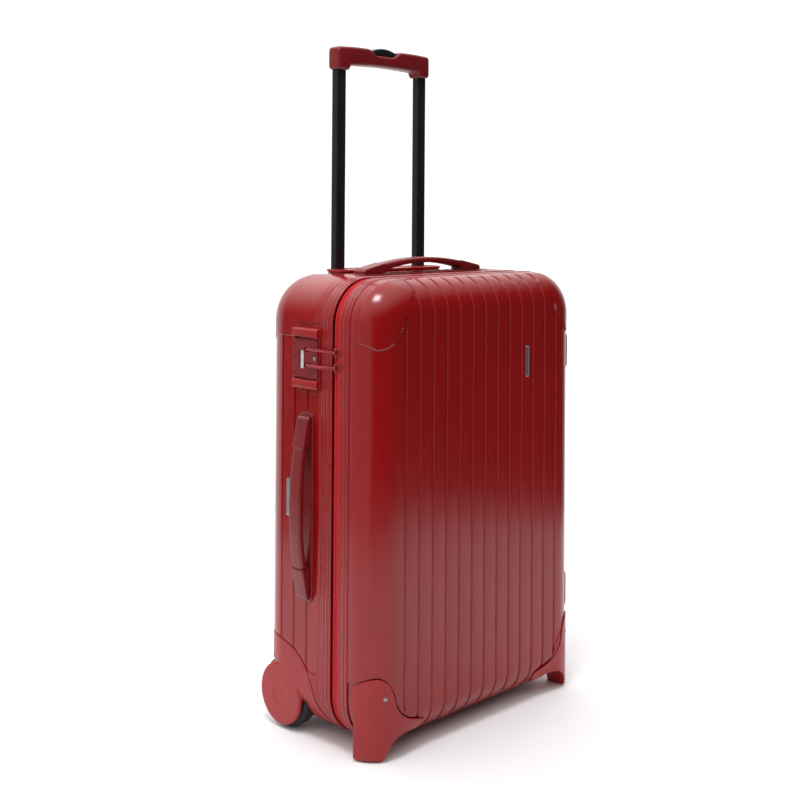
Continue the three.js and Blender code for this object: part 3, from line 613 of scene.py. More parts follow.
def band(profile, side):
    """A band right round the case. Profile: closed list of (offset, y)."""
    return loft([case_loop(offset, side * y) for offset, y in profile], closed=True)


RIM_PROFILE = [
    (-1.7, 8.3), (0.1, 8.3), (0.55, 8.5), (0.78, 9.1), (0.85, 10.6), (0.78, 12.0), (0.4, 12.6),
    (-0.3, 13.0), (0.4, 13.4), (0.78, 14.0), (0.85, 17.2), (0.78, 20.0), (0.4, 20.6), (-0.3, 21.0),
    (0.4, 21.4),
    (0.78, 22.0), (0.85, 23.8), (0.75, 25.4), (0.45, 26.2), (0.0, 26.7), (-1.7, 26.7),
]
REAR_TAPE = [
    (-4.7, 8.5), (-4.5, 8.3), (-4.3, 6.5), (-2.2, 5.8), (-1.4, 4.8), (-1.1, 3.2), (-1.2, 1.6),
    (-1.8, 0.8), (-2.6, 0.7), (-4.7, 0.7),
]
FRONT_TAPE = [
    (-4.7, 8.5), (-1.5, 8.4), (-1.2, 7.2), (-1.0, 5.4), (-1.0, 3.2), (-1.2, 1.6), (-1.8, 0.8),
    (-2.6, 0.7), (-4.7, 0.7),
]
TOOTH_PITCH = 1.0
HINGE_SPAN = (120, 570)


def loop_frames(offset, pitch):
    """Evenly spaced (point, direction, outward direction) round the case, off the hinge's straight."""
    loop = case_loop(offset, 0, 24)
    after = np.roll(loop, -1, axis=0)
    steps = np.linalg.norm(after - loop, axis=1)
    total = steps.sum()
    ends = np.cumsum(steps)
    frames = []
    for s in np.arange(0, total - pitch / 2, pitch):
        i = int(np.searchsorted(ends, s, side="right"))
        t = (s - (ends[i] - steps[i])) / steps[i]
        point = loop[i] * (1 - t) + after[i] * t
        along = (after[i] - loop[i]) / steps[i]
        outward = np.array([along[2], 0, -along[0]])
        if outward @ (point - np.array([0, 0, MIDDLE_Z])) < 0:
            outward = -outward
        if point[0] > 200 and HINGE_SPAN[0] - 8 < point[2] < HINGE_SPAN[1] + 8:
            continue
        frames.append((point, along, outward))
    return frames


def zip_teeth(side):
    """Every other tooth of the zip: small nylon hooks that reach across the middle."""
    points, faces = [], []
    first = 0 if side > 0 else 1
    across = np.array([0, 1.0, 0])
    for point, along, outward in loop_frames(-2.5, TOOTH_PITCH)[first::2]:
        start = len(points)
        for a, half in ((2.2, 0.26), (-0.2, 0.3), (-0.7, 0.38), (-1.0, 0.2)):
            for u, v in ((-1, -1), (1, -1), (1, 1), (-1, 1)):
                points.append(point + along * half * u + across * side * a + outward * 0.45 * v)
        faces += grid_faces(4, 4, close_columns=True, start=start)
        faces += [[start + n for n in (0, 1, 2, 3)], [start + 12 + n for n in (3, 2, 1, 0)]]
    return face_outwards(mesh_object(points, faces))


def make_rims():
    halves = (("rear", 1, "case", REAR_TAPE), ("front", -1, "lid", FRONT_TAPE))
    for name, side, body, profile in halves:
        dress(band(RIM_PROFILE, side), f"{name}_rim", TRIM, body, f"{name}_rim_trim", 50)
        dress(band(profile, side), f"{name}_tape", TAPE, body, f"{name}_zip_tape", 60)
        dress(zip_teeth(side), f"{name}_zip_teeth", TEETH, body)


def make_hinge_cloth():
    """The woven strip that joins the two halves along the right side, as one fixed skin that stays put when
    the lid opens.
    """
    x = CASE_HALF_WIDTH - 5.2
    sections = []
    for z in np.linspace(*HINGE_SPAN, 46):
        ripple = 0.12 * sin(z * 0.5)
        outer = [(x + 0.35 + ripple, y) for y in np.linspace(11.5, -11.5, 24)]
        inner = [(px - 0.7, y) for px, y in reversed(outer)]
        sections.append(in_axis("z", outer + inner, z))
    cloth = loft(sections)
    cloth.name = "hinge_cloth"
    mesh = cloth.data
    mesh.shade_smooth()
    mesh.materials.append(TAPE)
    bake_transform(cloth)
    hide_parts("hinge_strip")


# ---- solids that follow the case's form

def case_solid(offset, open_y, face):
    """The case's outer form from open_y to a face, grown by an offset all over."""
    side = 1 if face > open_y else -1
    radius = (BACK_EDGE_RADIUS if side > 0 else FRONT_EDGE_RADIUS) + offset
    loops = [case_loop(offset, open_y, 16)]
    for i in range(15):
        t = pi / 2 * i / 14
        inset = radius * (1 - cos(t))
        loops.append(case_loop(offset - inset, face + side * (offset - radius * (1 - sin(t))), 16))
    return loft(loops)


# ---- wheels and their housings

WHEEL_Y = 118
WHEEL_RADIUS = 50
TYRE_WIDTH = 24
TYRE_X = 208.5
WELL_RADIUS = 53
HOUSING_PROUD = 0.6


def across(side, near, far):
    return sorted((side * near, side * far))


def wheel_housing(side):
    centre = (WHEEL_Y, WHEEL_RADIUS)
    outer = CASE_HALF_WIDTH + HOUSING_PROUD
    well_outer, well_inner = TYRE_X + TYRE_WIDTH / 2 + 3, TYRE_X - TYRE_WIDTH / 2 - 3
    skin = case_solid(HOUSING_PROUD, 2, BACK_FACE)
    boolean(skin, housing_region(side, 0), "INTERSECT")
    boolean(skin, case_solid(-3, 1, BACK_FACE))
    wall = disc("x", WELL_RADIUS + 2.5, *across(side, well_inner - 4, outer - 2), centre, 72)
    boolean(wall, case_solid(-0.5, 2, BACK_FACE), "INTERSECT")
    boolean(skin, wall, "UNION")
    boolean(skin, disc("x", WELL_RADIUS, *across(side, well_inner, well_outer), centre, 72))
    cheek = [(well_outer, 0.01), (well_outer, 45), (outer - 1.6, 45), (outer - 0.5, 43.6),
             (outer, 41), (outer, 16), (outer - 0.5, 14.5), (outer - 0.5, 0.01)]
    boolean(skin, turned("x", [(side * x, r) for x, r in cheek], centre, 96), "UNION")
    boolean(skin, disc("x", 40, *across(side, well_inner - 4, well_inner), centre, 72), "UNION")
    boolean(skin, disc("x", 4.3, *across(side, well_inner - 2.6, well_outer + 2.6), centre, 32))
    return soften(skin, 0.9, 5)


def tyre(side):
    half = TYRE_WIDTH / 2
    tread = [(-half, 38.5), (-half, 43), (-half + 0.6, 46), (-half + 2.2, 48.4), (-half + 4.6, 49.6),
             (-5.2, 49.9)]
    middle = [(-4.2, 49.9), (-3.9, 49.2), (-3.1, 49.2), (-2.8, WHEEL_RADIUS),
              (2.8, WHEEL_RADIUS), (3.1, 49.2), (3.9, 49.2), (4.2, 49.9)]
    profile = tread + middle + [(-x, r) for x, r in reversed(tread)]
    return turned("x", [(side * TYRE_X + x, r) for x, r in profile], (WHEEL_Y, WHEEL_RADIUS), 120)


def hub(side):
    x = side * TYRE_X
    profile = [(-10, 11.4), (-10, 15.2), (-9.4, 16), (-4.4, 18), (-3, 19), (-3, 30), (-4, 31), (-10.4, 33),
               (-11, 33.6), (-11, 38.2)]
    ring = [(x + a, r) for a, r in profile] + [(x - a, r) for a, r in reversed(profile)]
    body = turned("x", ring, (WHEEL_Y, WHEEL_RADIUS), 96)
    for i in range(6):
        rib = box((x - 8, x + 8), (-1.2, 1.2), (15, 34))
        turn = Matrix.Rotation(radians(60 * i), 4, "X")
        place = Matrix.Translation(Vector(at([0, WHEEL_Y, WHEEL_RADIUS])) - Vector((ORIGIN[0], 0, 0)))
        rib.data.transform(place @ turn @ Matrix.Translation(Vector((0, -ORIGIN[1], 0))))
        boolean(body, rib, "UNION")
    return body


def make_wheels():
    for name, side in (("left", -1), ("right", 1)):
        node = f"wheel_{name}"
        dress(wheel_housing(side), f"housing_{name}", CASING, "case", f"wheel_housing_{name}", 60)
        dress(tyre(side), f"tyre_rubber_{name}", RUBBER, node, f"tyre_{name}", 40)
        dress(hub(side), f"hub_{name}", BLACK, node, f"wheel_hub_{name}")


# ---- feet

FOOT_PROUD = 2.2


def foot_outline(grow=0.0):
    """Front view (x, z) of the left foot, from its base round the inner tip to the side."""
    g = grow
    points = [(-245, -3), (-202 + g, -3)]
    points += bezier((-202 + g, 0), (-200 + g, 18), (-190, 33 - g), (-165, 33 - g), 18)
    points += bezier((-165, 33 - g), (-150, 33 - g), (-138, 28 - g), (-128, 27 - g), 10)[1:]
    points += bezier((-128, 27 - g), (-122 + g, 28), (-121 + g, 40), (-128, 42 + g), 8)[1:]
    points += bezier((-128, 42 + g), (-150, 48 + g), (-176 + g, 52 + g), (-186 + g, 80), 18)[1:]
    points += bezier((-186 + g, 80), (-190 + g, 102), (-200, 118 + g), (-215, 115 + g), 14)[1:]
    points += bezier((-215, 115 + g), (-221, 114 + g), (-226, 110 + g), (-229, 103.5 + g), 6)[1:]
    return points + [(-245, 100 + g)]


def foot_plan(z):
    """Plan (x, y) of the foot at one height: flat front, rounded corner, inner side easing back."""
    rounding = 8.0
    drawn_in = rounding - sqrt(max(0.0, rounding**2 - max(0.0, rounding - z)**2))
    reach = CASE_HALF_WIDTH + FOOT_PROUD - drawn_in * 0.8
    radius = FRONT_EDGE_RADIUS + FOOT_PROUD
    front = FRONT_FACE - FOOT_PROUD + drawn_in
    centre_z = CASE_BOTTOM - FOOT_PROUD + radius
    below = min(radius, max(0.0, centre_z - z))
    surface = FRONT_FACE - FOOT_PROUD + radius - sqrt(radius**2 - below**2)
    outline = [(-126, -10), (-reach, -10)]
    for i in range(25):
        t = pi + pi / 2 * i / 24
        outline.append((-reach + radius + radius * cos(t), front + radius + radius * sin(t)))
    between = surface * 0.6 + front * 0.4
    outline += bezier((-reach + radius, front), (-165, front), (-150, between), (-126, surface), 14)[1:]
    return outline


def front_foot():
    region = prism("y", foot_outline(), FRONT_FACE - 8, -40)
    heights = [0, 0.6, 1.5, 3, 5, 8] + [12 + 4 * i for i in range(21)]
    body = loft([in_axis("z", foot_plan(z), z) for z in heights])
    boolean(body, case_solid(FOOT_PROUD, -2, FRONT_FACE), "UNION")
    boolean(body, region, "INTERSECT")
    boolean(body, case_solid(GAP, -1, FRONT_FACE))
    return soften(body, 0.7, 3)


def mirrored(obj):
    """A copy of obj on the other side of the case's mid-plane."""
    twin = placed(obj.data.copy())
    flip = Matrix.Translation((ORIGIN[0], 0, 0)) @ Matrix.Scale(-1, 4, (1, 0, 0))
    twin.data.transform(flip @ Matrix.Translation((-ORIGIN[0], 0, 0)))
    twin.data.flip_normals()
    return twin


def domed_stud(place, normal, radius, height):
    """A low domed head standing along a normal, with a drive hollow."""
    profile = [(radius * cos(t), height * sin(t)) for t in np.linspace(0, pi / 2, 8)]
    rings = [(radius, -height)] + profile[:-1] + [(radius * 0.22, height * 0.86), (0.02, height * 0.5)]
    n = Vector(normal).normalized()
    turn = Vector((0, 0, 1)).rotation_difference(n).to_matrix()
    sections = []
    for r, h in rings:
        circle = [Vector((r * cos(t), r * sin(t), h)) for t in full_turn(24)]
        sections.append([tuple(Vector(place) + turn @ p) for p in circle])
    return loft(sections)


def make_feet():
    left = front_foot()
    for name, side, foot in (("left", -1, left), ("right", 1, mirrored(left))):
        dress(foot, f"foot_casing_{name}", CASING, "lid", f"front_foot_{name}", 60)
        low, high = span(f"foot_rivet_{name}")
        stud = domed_stud((low + high) / 2, (side * 0.44, -0.898, 0), 2.9, 1.0)
        dress(stud, f"rivet_{name}", STEEL, "lid", f"foot_rivet_{name}")


def side_foot(name, node, body):
    """A low rounded runner on the right wall, on which the case lies flat."""
    low, high = span(node)
    z0, z1, reach = low[2], high[2], high[0]
    profile = [(215, z0), (231, z0)]
    profile += bezier((231, z0), (236, z0 + 1), (reach, z0 + 4), (reach, z0 + 11), 8)
    profile += bezier((reach, z1 - 11), (reach, z1 - 4), (236, z1 - 1), (231, z1), 8) + [(215, z1)]
    foot = prism("y", profile, low[1], high[1])
    bevel(foot, 2.4, 4, 40)
    face = BACK_FACE if low[1] > 0 else FRONT_FACE
    boolean(foot, case_solid(GAP, 1 if face > 0 else -1, face))
    dress(foot, name, CASING, body, node, 40)


def make_side_feet():
    for level in ("upper", "lower"):
        side_foot(f"runner_front_{level}", f"side_foot_front_{level}", "lid")
        side_foot(f"runner_rear_{level}", f"side_foot_rear_{level}", "case")


# ---- carry handles

TOP_HANDLE_Y = 59
SIDE_HANDLE_Y = 62
SIDE_HANDLE_Z = 334.5
SEAM = 86
HANDLE_END = 131
HANDLE_HALF_WIDTH = 12.5


def on_top(p):
    return np.stack([p[:, 0], p[:, 1] + TOP_HANDLE_Y, p[:, 2] + CASE_TOP], 1)


def on_side(p):
    return np.stack([-CASE_HALF_WIDTH - p[:, 2], p[:, 1] + SIDE_HANDLE_Y, p[:, 0] + SIDE_HANDLE_Z], 1)


def handle_section(x, half, bottom, top, radius, crown=0.0, steps=6):
    """A rounded section (y, z) across a handle at station x; crown lifts the middle of its top."""
    points = np.array(rounded_rectangle(-half, half, bottom, top, radius, steps))
    lift = crown * (1 - (points[:, 0] / half)**2) * smoothstep(points[:, 1], bottom, top)
    points[:, 1] += lift
    return in_axis("x", points, x)


def handle_grip(put):
    sections = []
    ends = [SEAM - 1.2, SEAM - 0.5, SEAM]
    stations = [-x for x in reversed(ends)] + list(np.linspace(-SEAM + 4, SEAM - 4, 41)) + ends
    for x in stations:
        t = (x + SEAM) / (2 * SEAM)
        swell = 2 * t * (1 - t)
        chamfer = 0.6 * smoothstep(abs(x), SEAM - 1.4, SEAM)
        half = HANDLE_HALF_WIDTH - 0.9 + 0.5 * cos(pi * x / SEAM) - chamfer
        bottom = 6 + 21 * swell + chamfer
        top = 17.2 + 15.2 * swell - chamfer
        radius = min(3.6, (top - bottom) * 0.42)
        sections.append(put(handle_section(x, half, bottom, top, radius, 0.4)))
    return loft(sections)


def handle_cap(end, put):
    sections = []
    stations = [SEAM + 0.3, SEAM + 0.8, SEAM + 1.6] + list(np.linspace(SEAM + 5, 123, 9))
    stations += [HANDLE_END - 7 + 7 * sin(t) for t in np.linspace(0.15, pi / 2, 8)]
    for x in stations:
        lip = 0.7 * (1 - smoothstep(x, SEAM + 0.3, SEAM + 1.6))
        tail = sqrt(max(0.0, 1 - (max(0.0, x - (HANDLE_END - 7)) / 7.4)**2))
        half = HANDLE_HALF_WIDTH - lip - 2.2 * (1 - tail)
        top = float(np.interp(x, [SEAM, 124, HANDLE_END], [18.2, 10.4, 9.4])) - lip
        bottom = 2.3
        top = bottom + (top - bottom) * (0.35 + 0.65 * tail)
        radius = min(1.9, (top - bottom) * 0.4)
        sections.append(put(handle_section(end * x, half, bottom, top, radius, 0.25)))
    return loft(sections)


def handle_plate(put):
    sections = []
    for shrink, z in ((0.0, GAP), (0.0, 1.2), (0.25, 1.7), (0.9, 2.0)):
        inset = rounded_rectangle(-136 + shrink, 136 - shrink, -15 + shrink, 15 - shrink, 6.5 - shrink, 8)
        sections.append(put(in_axis("z", inset, z)))
    plate = loft(sections)
    well = [(-80, -5), (-73, -10), (73, -10), (80, -5), (80, 5), (73, 10), (-73, 10), (-80, 5)]
    hollow = loft([put(in_axis("z", well, z)) for z in (-1, 4)])
    return boolean(plate, hollow)


def make_handles():
    for name, put, ends in (("top", on_top, ("left", "right")), ("side", on_side, ("lower", "upper"))):
        own, node = f"{name}_carry", f"{name}_handle"
        dress(handle_grip(put), f"{own}_grip", HANDLE, node, f"{node}_grip", 40)
        dress(handle_plate(put), f"{own}_plate", HANDLE, "case", f"{node}_plate", 40)
        for end, sign in zip(ends, (-1, 1)):
            cap = handle_cap(sign, put)
            dress(cap, f"{own}_cap_{end}", HANDLE, "case", f"{node}_cap_{end}", 40)


# ---- trolley

POLE_X = 90.6
POLE_Y = 151
GRIP_HALF = 103.5
GRIP_TOP = 1022
GRIP_UNDERSIDE = 992
GRIP_LEG_BOTTOM = 984
BUTTON_TOP = 1025
BUTTON_BOTTOM = 1011.5
GRIP_HALF_DEPTH = 13.5


def grip_section(x):
    wide = abs(x)
    leg = float(smoothstep(wide, 75.5, 80.5))
    bottom = (GRIP_UNDERSIDE + 2.6 * (1 - (wide / 78)**2)) * (1 - leg) + GRIP_LEG_BOTTOM * leg
    scoop = 9.6 * (1 - float(smoothstep(wide, 16, 38)))
    top = GRIP_TOP - scoop - 1.6 * float(smoothstep(wide, 60, GRIP_HALF))
    round_end = sqrt(max(0.0, 1 - (max(0.0, wide - (GRIP_HALF - 7)) / 7.02)**2))
    half = (GRIP_HALF_DEPTH - 5.5) + 5.5 * round_end
    middle = (bottom + top) / 2
    rise = (top - bottom) / 2
    rise = rise - 4.5 * (1 - round_end)
    radius = min(5.2, rise * 0.8, half * 0.8)
    outline = np.array(rounded_rectangle(-half, half, middle - rise, middle + rise, radius, 7))
    outline[:, 0] += POLE_Y
    return in_axis("x", outline, x)


def trolley_grip():
    edge = [GRIP_HALF - 7 + 7 * sin(t) for t in np.linspace(0, pi / 2, 9)]
    stations = list(np.linspace(0, 74, 38)) + list(np.linspace(75, 81, 13)) + [84, 88, 92] + edge
    stations = [-x for x in reversed(stations[1:])] + stations
    grip = loft([grip_section(x) for x in stations])
    cut(grip, "z", oval(0, POLE_Y, 33, 10.2, 6, 8), 1001, 1030)
    boolean(grip, box((-97, 97), (POLE_Y - 5, POLE_Y + 5), (997, 1011)))
    for side in (-1, 1):
        x = side * POLE_X
        cut(grip, "z", oval(x, POLE_Y, 10.3, 7.3, 3, 4), 983, 1000.3)
        for y, reach in ((POLE_Y - 14, 1.6), (POLE_Y + 14, -1.6)):
            boolean(grip, disc("y", 1.7, *sorted((y, y + reach)), (x, GRIP_UNDERSIDE), 20))
    return grip


def trolley_button():
    sections = []
    for x in np.linspace(-31, 31, 32):
        t = abs(x) / 31
        round_end = sqrt(max(0.02, 1 - max(0.0, (abs(x) - 22) / 9.1)**2))
        half = 9.6 * (0.45 + 0.55 * round_end)
        top = BUTTON_TOP - 7.5 * t * t
        radius = min(3.2, (top - BUTTON_BOTTOM) * 0.4)
        outline = np.array(rounded_rectangle(-half, half, BUTTON_BOTTOM, top, radius, 6))
        outline[:, 0] += POLE_Y
        sections.append(in_axis("x", outline, x))
    cap = loft(sections)
    boolean(cap, box((-8, 8), (POLE_Y - 4, POLE_Y + 4), (1008, 1013)), "UNION")
    boolean(cap, box((-95, 95), (POLE_Y - 4, POLE_Y + 4), (1005.5, 1009)), "UNION")
    return cap


def pole(side):
    """A flat oval tube with a shallow channel down each broad face."""
    low, high = span("trolley_pole_left")
    outer = rounded_rectangle(-10, 10, -7, 7, 3.2, 5)
    shaped = []
    for x, y in outer:
        shaped.append((x, y))
        if (x, y) == outer[len(outer) // 2 - 1] or (x, y) == outer[-1]:
            sign = -1 if y > 0 else 1
            channel = [(4.2, 7), (3.6, 6.4), (-3.6, 6.4), (-4.2, 7)]
            shaped += [(-a * sign if y < 0 else a, copysign(b, y)) for a, b in channel]
    tube = prism("z", [(x + side * POLE_X, y + POLE_Y) for x, y in shaped], low[2], high[2])
    return cut(tube, "z", oval(side * POLE_X, POLE_Y, 8.4, 5.4, 2, 4), low[2] - 1, high[2] + 1)


def guide_hole(x):
    """The hole that a guide tube stands in."""
    return oval(x, POLE_Y, 12.6, 9.6, 3, 4)


def bezel():
    """The plate round the poles: a raised rim, a sunk field and a skirt down to the rounded shell."""
    low, high = span("trolley_bezel")
    plate_bottom = 667
    top = high[2]
    rows = ((2.0, 618), (2.0, plate_bottom), (0.0, plate_bottom), (0.0, top - 1.1), (0.35, top - 0.4),
            (1.1, top), (2.6, top), (3.3, top - 0.4), (3.8, top - 1.2))
    sections = []
    for shrink, z in rows:
        x, y = (low[0] + shrink, high[0] - shrink), (low[1] + shrink, high[1] - shrink)
        sections.append(in_axis("z", rounded_rectangle(*x, *y, 20 - shrink, 14), z))
    plate = loft(sections)
    boolean(plate, case_solid(GAP, 1, BACK_FACE))
    for side in (-1, 1):
        x = side * POLE_X
        rim = rounded_rectangle(x - 13, x + 13, POLE_Y - 9.9, POLE_Y + 8.4, 4, 5)
        collar = prism("z", rim, plate_bottom + 0.5, high[2] - 0.1)
        boolean(plate, bevel(collar, 0.5, 2, 60), "UNION")
        cut(plate, "z", guide_hole(x), 600, plate_bottom)
        cut(plate, "z", oval(x, POLE_Y, 10.4, 7.4, 3.2, 5), 600, 700)
    for x in (-62, 62):
        boolean(plate, disc("z", 2.6, high[2] - 2.2, 700, (x, 136), 24))
    return plate


def spring_wire():
    low, high = span("button_spring")
    wire, turns, radius = 0.45, 4, 3.2
    bottom, height = low[2] + wire, high[2] - low[2] - 2 * wire
    sections = []
    for i in range(turns * 20 + 1):
        t = i / (turns * 20)
        a = 2 * pi * turns * t
        out = np.array([cos(a), sin(a), 0])
        centre = np.array([0, POLE_Y, bottom + height * t]) + radius * out
        ring = [centre + wire * (cos(b) * out + sin(b) * np.array([0, 0, 1]))
                for b in full_turn(8)]
        sections.append(ring)
    return loft(sections)


def make_trolley():
    dress(trolley_grip(), "pull_bar", HANDLE, "trolley", "trolley_grip", 40)
    dress(trolley_button(), "release_button", BLACK, "push_button", "trolley_button", 40)
    for name, side in (("left", -1), ("right", 1)):
        dress(pole(side), f"pull_pole_{name}", POLE, "trolley", f"trolley_pole_{name}", 20)
    dress(bezel(), "bezel_plate", TRIM, "case", "trolley_bezel", 35)
    spring = dress(spring_wire(), "return_spring", STEEL, "trolley", "button_spring")
    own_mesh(spring)


# ---- lock, dials, zip pulls

LOCK_Y = (33, 91)
LOCK_Z = (505, 593)
LOCK_FACE = -231.5
BUMPER_X = -236.8
OUTSIDE_X = -240  # where the cutters of the lock start
DIAL_X = -226.5
DIAL_Y = 70
DIAL_RADIUS = 6.8
DIAL_PITCH = 9
RELEASE_PLACE = (41, 550)
PULL_Z = {"upper": 562, "lower": 540}
ZIP_BAR_X = -232.4


def lock_housing():
    body = prism("x", rounded_rectangle(*LOCK_Y, *LOCK_Z, 4, 6), LOCK_FACE, -212)
    bevel(body, 0.9, 3, 40)
    for z0, z1 in ((LOCK_Z[1] - 15, LOCK_Z[1] - 0.6), (LOCK_Z[0] + 0.6, LOCK_Z[0] + 14)):
        profile = [(LOCK_FACE + 2, z0), (-233, z0)]
        profile += bezier((-233, z0), (-235.6, z0), (BUMPER_X, z0 + 1.5), (BUMPER_X, z0 + 5), 8)
        profile += bezier((BUMPER_X, z1 - 5), (BUMPER_X, z1 - 1.5), (-235.6, z1), (-233, z1), 8)
        profile.append((LOCK_FACE + 2, z1))
        bar = prism("y", profile, LOCK_Y[0] + 0.8, LOCK_Y[1] - 2.6)
        bevel(bar, 2.6, 5, 50)
        boolean(body, bar, "UNION")
    for z0, z1 in ((576.6, 580.2), (518.0, 520.9)):
        cut(body, "x", rounded_rectangle(LOCK_Y[0] + 4, LOCK_Y[1] - 6, z0, z1, 1.2, 4), OUTSIDE_X, -230)
    depth = (OUTSIDE_X, DIAL_X + DIAL_RADIUS + 0.8)
    boolean(body, box(depth, (DIAL_Y - 7.6, DIAL_Y + 7.6), (532.8, 561.2)))
    boolean(body, disc("x", 3.5, OUTSIDE_X, -226, RELEASE_PLACE, 32))
    boolean(body, disc("z", 1.6, 530, 564, (DIAL_X, DIAL_Y), 24), "UNION")
    return body


def lock_cover():
    outline = rounded_rectangle(LOCK_Y[0] + 2, LOCK_Y[1] - 2, 521.2, 576.3, 3.4, 6)
    plate = bevel(prism("x", outline, -234, LOCK_FACE - GAP), 0.5, 3, 40)
    cut(plate, "x", rounded_rectangle(DIAL_Y - 4.7, DIAL_Y + 4.7, 533, 561, 3.6, 8), OUTSIDE_X, -220)
    boolean(plate, disc("x", 3.4, OUTSIDE_X, -220, RELEASE_PLACE, 32))
    for z in PULL_Z.values():
        cut(plate, "x", rounded_rectangle(50, 63.4, z - 3.3, z + 3.3, 1.6, 5), OUTSIDE_X, -220)
    for z in (570, 549, 527):
        boolean(plate, disc("x", 1.35, OUTSIDE_X, -232.9, (85.5, z), 20))
    return plate


# The strokes each numeral uses: top, middle, end (bottom), a and b (upper pair), c and d (lower pair).
SEGMENTS = ["tabcde", "bd", "tbmce", "tbmde", "abmd", "tamde", "tamcde", "tbd", "tabmcde", "tabmde"]
STROKES = {"t": (0, 2.1, 1), "m": (0, 0, 1), "e": (0, -2.1, 1), "a": (-1.05, 1.05, 0),
           "b": (1.05, 1.05, 0), "c": (-1.05, -1.05, 0), "d": (1.05, -1.05, 0)}


def dial_numerals(z):
    """Numerals round a dial as thin raised strokes."""
    points, faces = [], []
    for numeral, strokes in enumerate(SEGMENTS):
        for stroke in strokes:
            u, v, flat = STROKES[stroke]
            half_u, half_v = (0.95, 0.22) if flat else (0.22, 0.95)
            start = len(points)
            for r in (DIAL_RADIUS - 0.05, DIAL_RADIUS + 0.07):
                for a, b in ((-1, -1), (1, -1), (1, 1), (-1, 1)):
                    angle = pi + radians(36 * numeral) + (u + a * half_u) / DIAL_RADIUS
                    height = z + v + b * half_v
                    points.append((DIAL_X + r * cos(angle), DIAL_Y + r * sin(angle), height))
            faces += [[start + n for n in quad] for quad in (
                (3, 2, 1, 0), (4, 5, 6, 7), (0, 1, 5, 4), (1, 2, 6, 5), (2, 3, 7, 6), (3, 0, 4, 7))]
    return face_outwards(mesh_object(points, faces))


def number_dial(z):
    half = DIAL_PITCH / 2 - 0.25
    edge = [(half, 1.95), (half, DIAL_RADIUS - 0.7), (half - 0.25, DIAL_RADIUS - 0.2),
            (half - 0.8, DIAL_RADIUS)]
    profile = [(z - a, r) for a, r in edge] + [(z + a, r) for a, r in reversed(edge)]
    return turned("z", profile, (DIAL_X, DIAL_Y), 60)


def zip_slider(z):
    base = prism("x", rounded_rectangle(-5.5, 5.5, z - 7, z + 7, 3, 8), -229.6, -226.8)
    bevel(base, 0.8, 3, 40)
    sections = []
    for t in np.linspace(0, pi, 21):
        along = z - 5.6 * cos(t)
        out = -228.6 - 4.1 * sin(t)**0.6
        half = 1.0 + 1.9 * abs(cos(t))**2
        sections.append([(out - 0.75 * sin(b), half * cos(b), along)
                         for b in full_turn(12)])
    return boolean(base, loft(sections), "UNION")


def zip_pull(z, level):
    """A soft moulded ribbon from the slider's bridge to the lock's slot."""
    lift = 1 if level == "upper" else -1
    path = bezier((ZIP_BAR_X - 1.3, 1.0), (-234.6, 16), (-237.2, 34), (-236.2, 50), 22)
    path += bezier((-236.2, 50), (-235.4, 56), (-234.4, 58), (-233.2, 61), 8)[1:]
    sections = []
    for i, (x, y) in enumerate(path):
        t = i / (len(path) - 1)
        half = 1.5 + 1.1 * sin(pi * min(1, t * 1.15))**0.7
        twist = radians(24) * lift * sin(pi * t)
        rise = lift * 1.2 * sin(pi * t)
        ring = []
        for b in full_turn(14):
            u, v = half * sin(b), 0.75 * cos(b)
            ring.append((x + v * cos(twist) - u * sin(twist), y,
                         z + rise + u * cos(twist) + v * sin(twist)))
        sections.append(ring)
    ribbon = loft(sections)
    eye = [(z - 1.9, 1.5), (z - 1.9, 2.2), (z - 1.5, 2.6), (z + 1.5, 2.6), (z + 1.9, 2.2), (z + 1.9, 1.5)]
    return boolean(ribbon, turned("z", eye, (ZIP_BAR_X, 0), 28), "UNION")


def make_lock():
    dress(lock_housing(), "lock_body", CASING, "case", "lock_housing", 40)
    dress(lock_cover(), "lock_plate", HANDLE, "case", "lock_cover", 40)
    for i in (1, 2, 3):
        z = 547 + DIAL_PITCH * (2 - i)
        dress(number_dial(z), f"dial_wheel_{i}", WHITE, f"dial_{i}", f"number_dial_{i}")
        dress(dial_numerals(z), f"dial_numerals_{i}", INK, f"dial_{i}")
    low, high = span("lock_release")
    profile = [(high[0], 0.02), (high[0], 3.0), (low[0] + 0.7, 3.0), (low[0] + 0.2, 2.7),
               (low[0], 2.2), (low[0] + 0.35, 1.2), (low[0] + 0.4, 0.02)]
    stud = turned("x", profile, RELEASE_PLACE, 36)
    dress(stud, "release_stud", STEEL, "release", "lock_release")
    for level, z in PULL_Z.items():
        slider, pull = f"slider_{level}", f"pull_{level}"
        dress(zip_slider(z), slider, SLIDER, slider, f"zip_{slider}", 45)
        dress(zip_pull(z, level), f"pull_tab_{level}", SLIDER, pull, f"zip_{pull}", 45)


# ---- badges

BADGE_SECTION = ((0.0, 0.0), (0.0, 0.6), (0.2, 0.9), (0.5, 1.0), (0.9, 1.0), (1.1, 0.75), (1.2, 0.6))


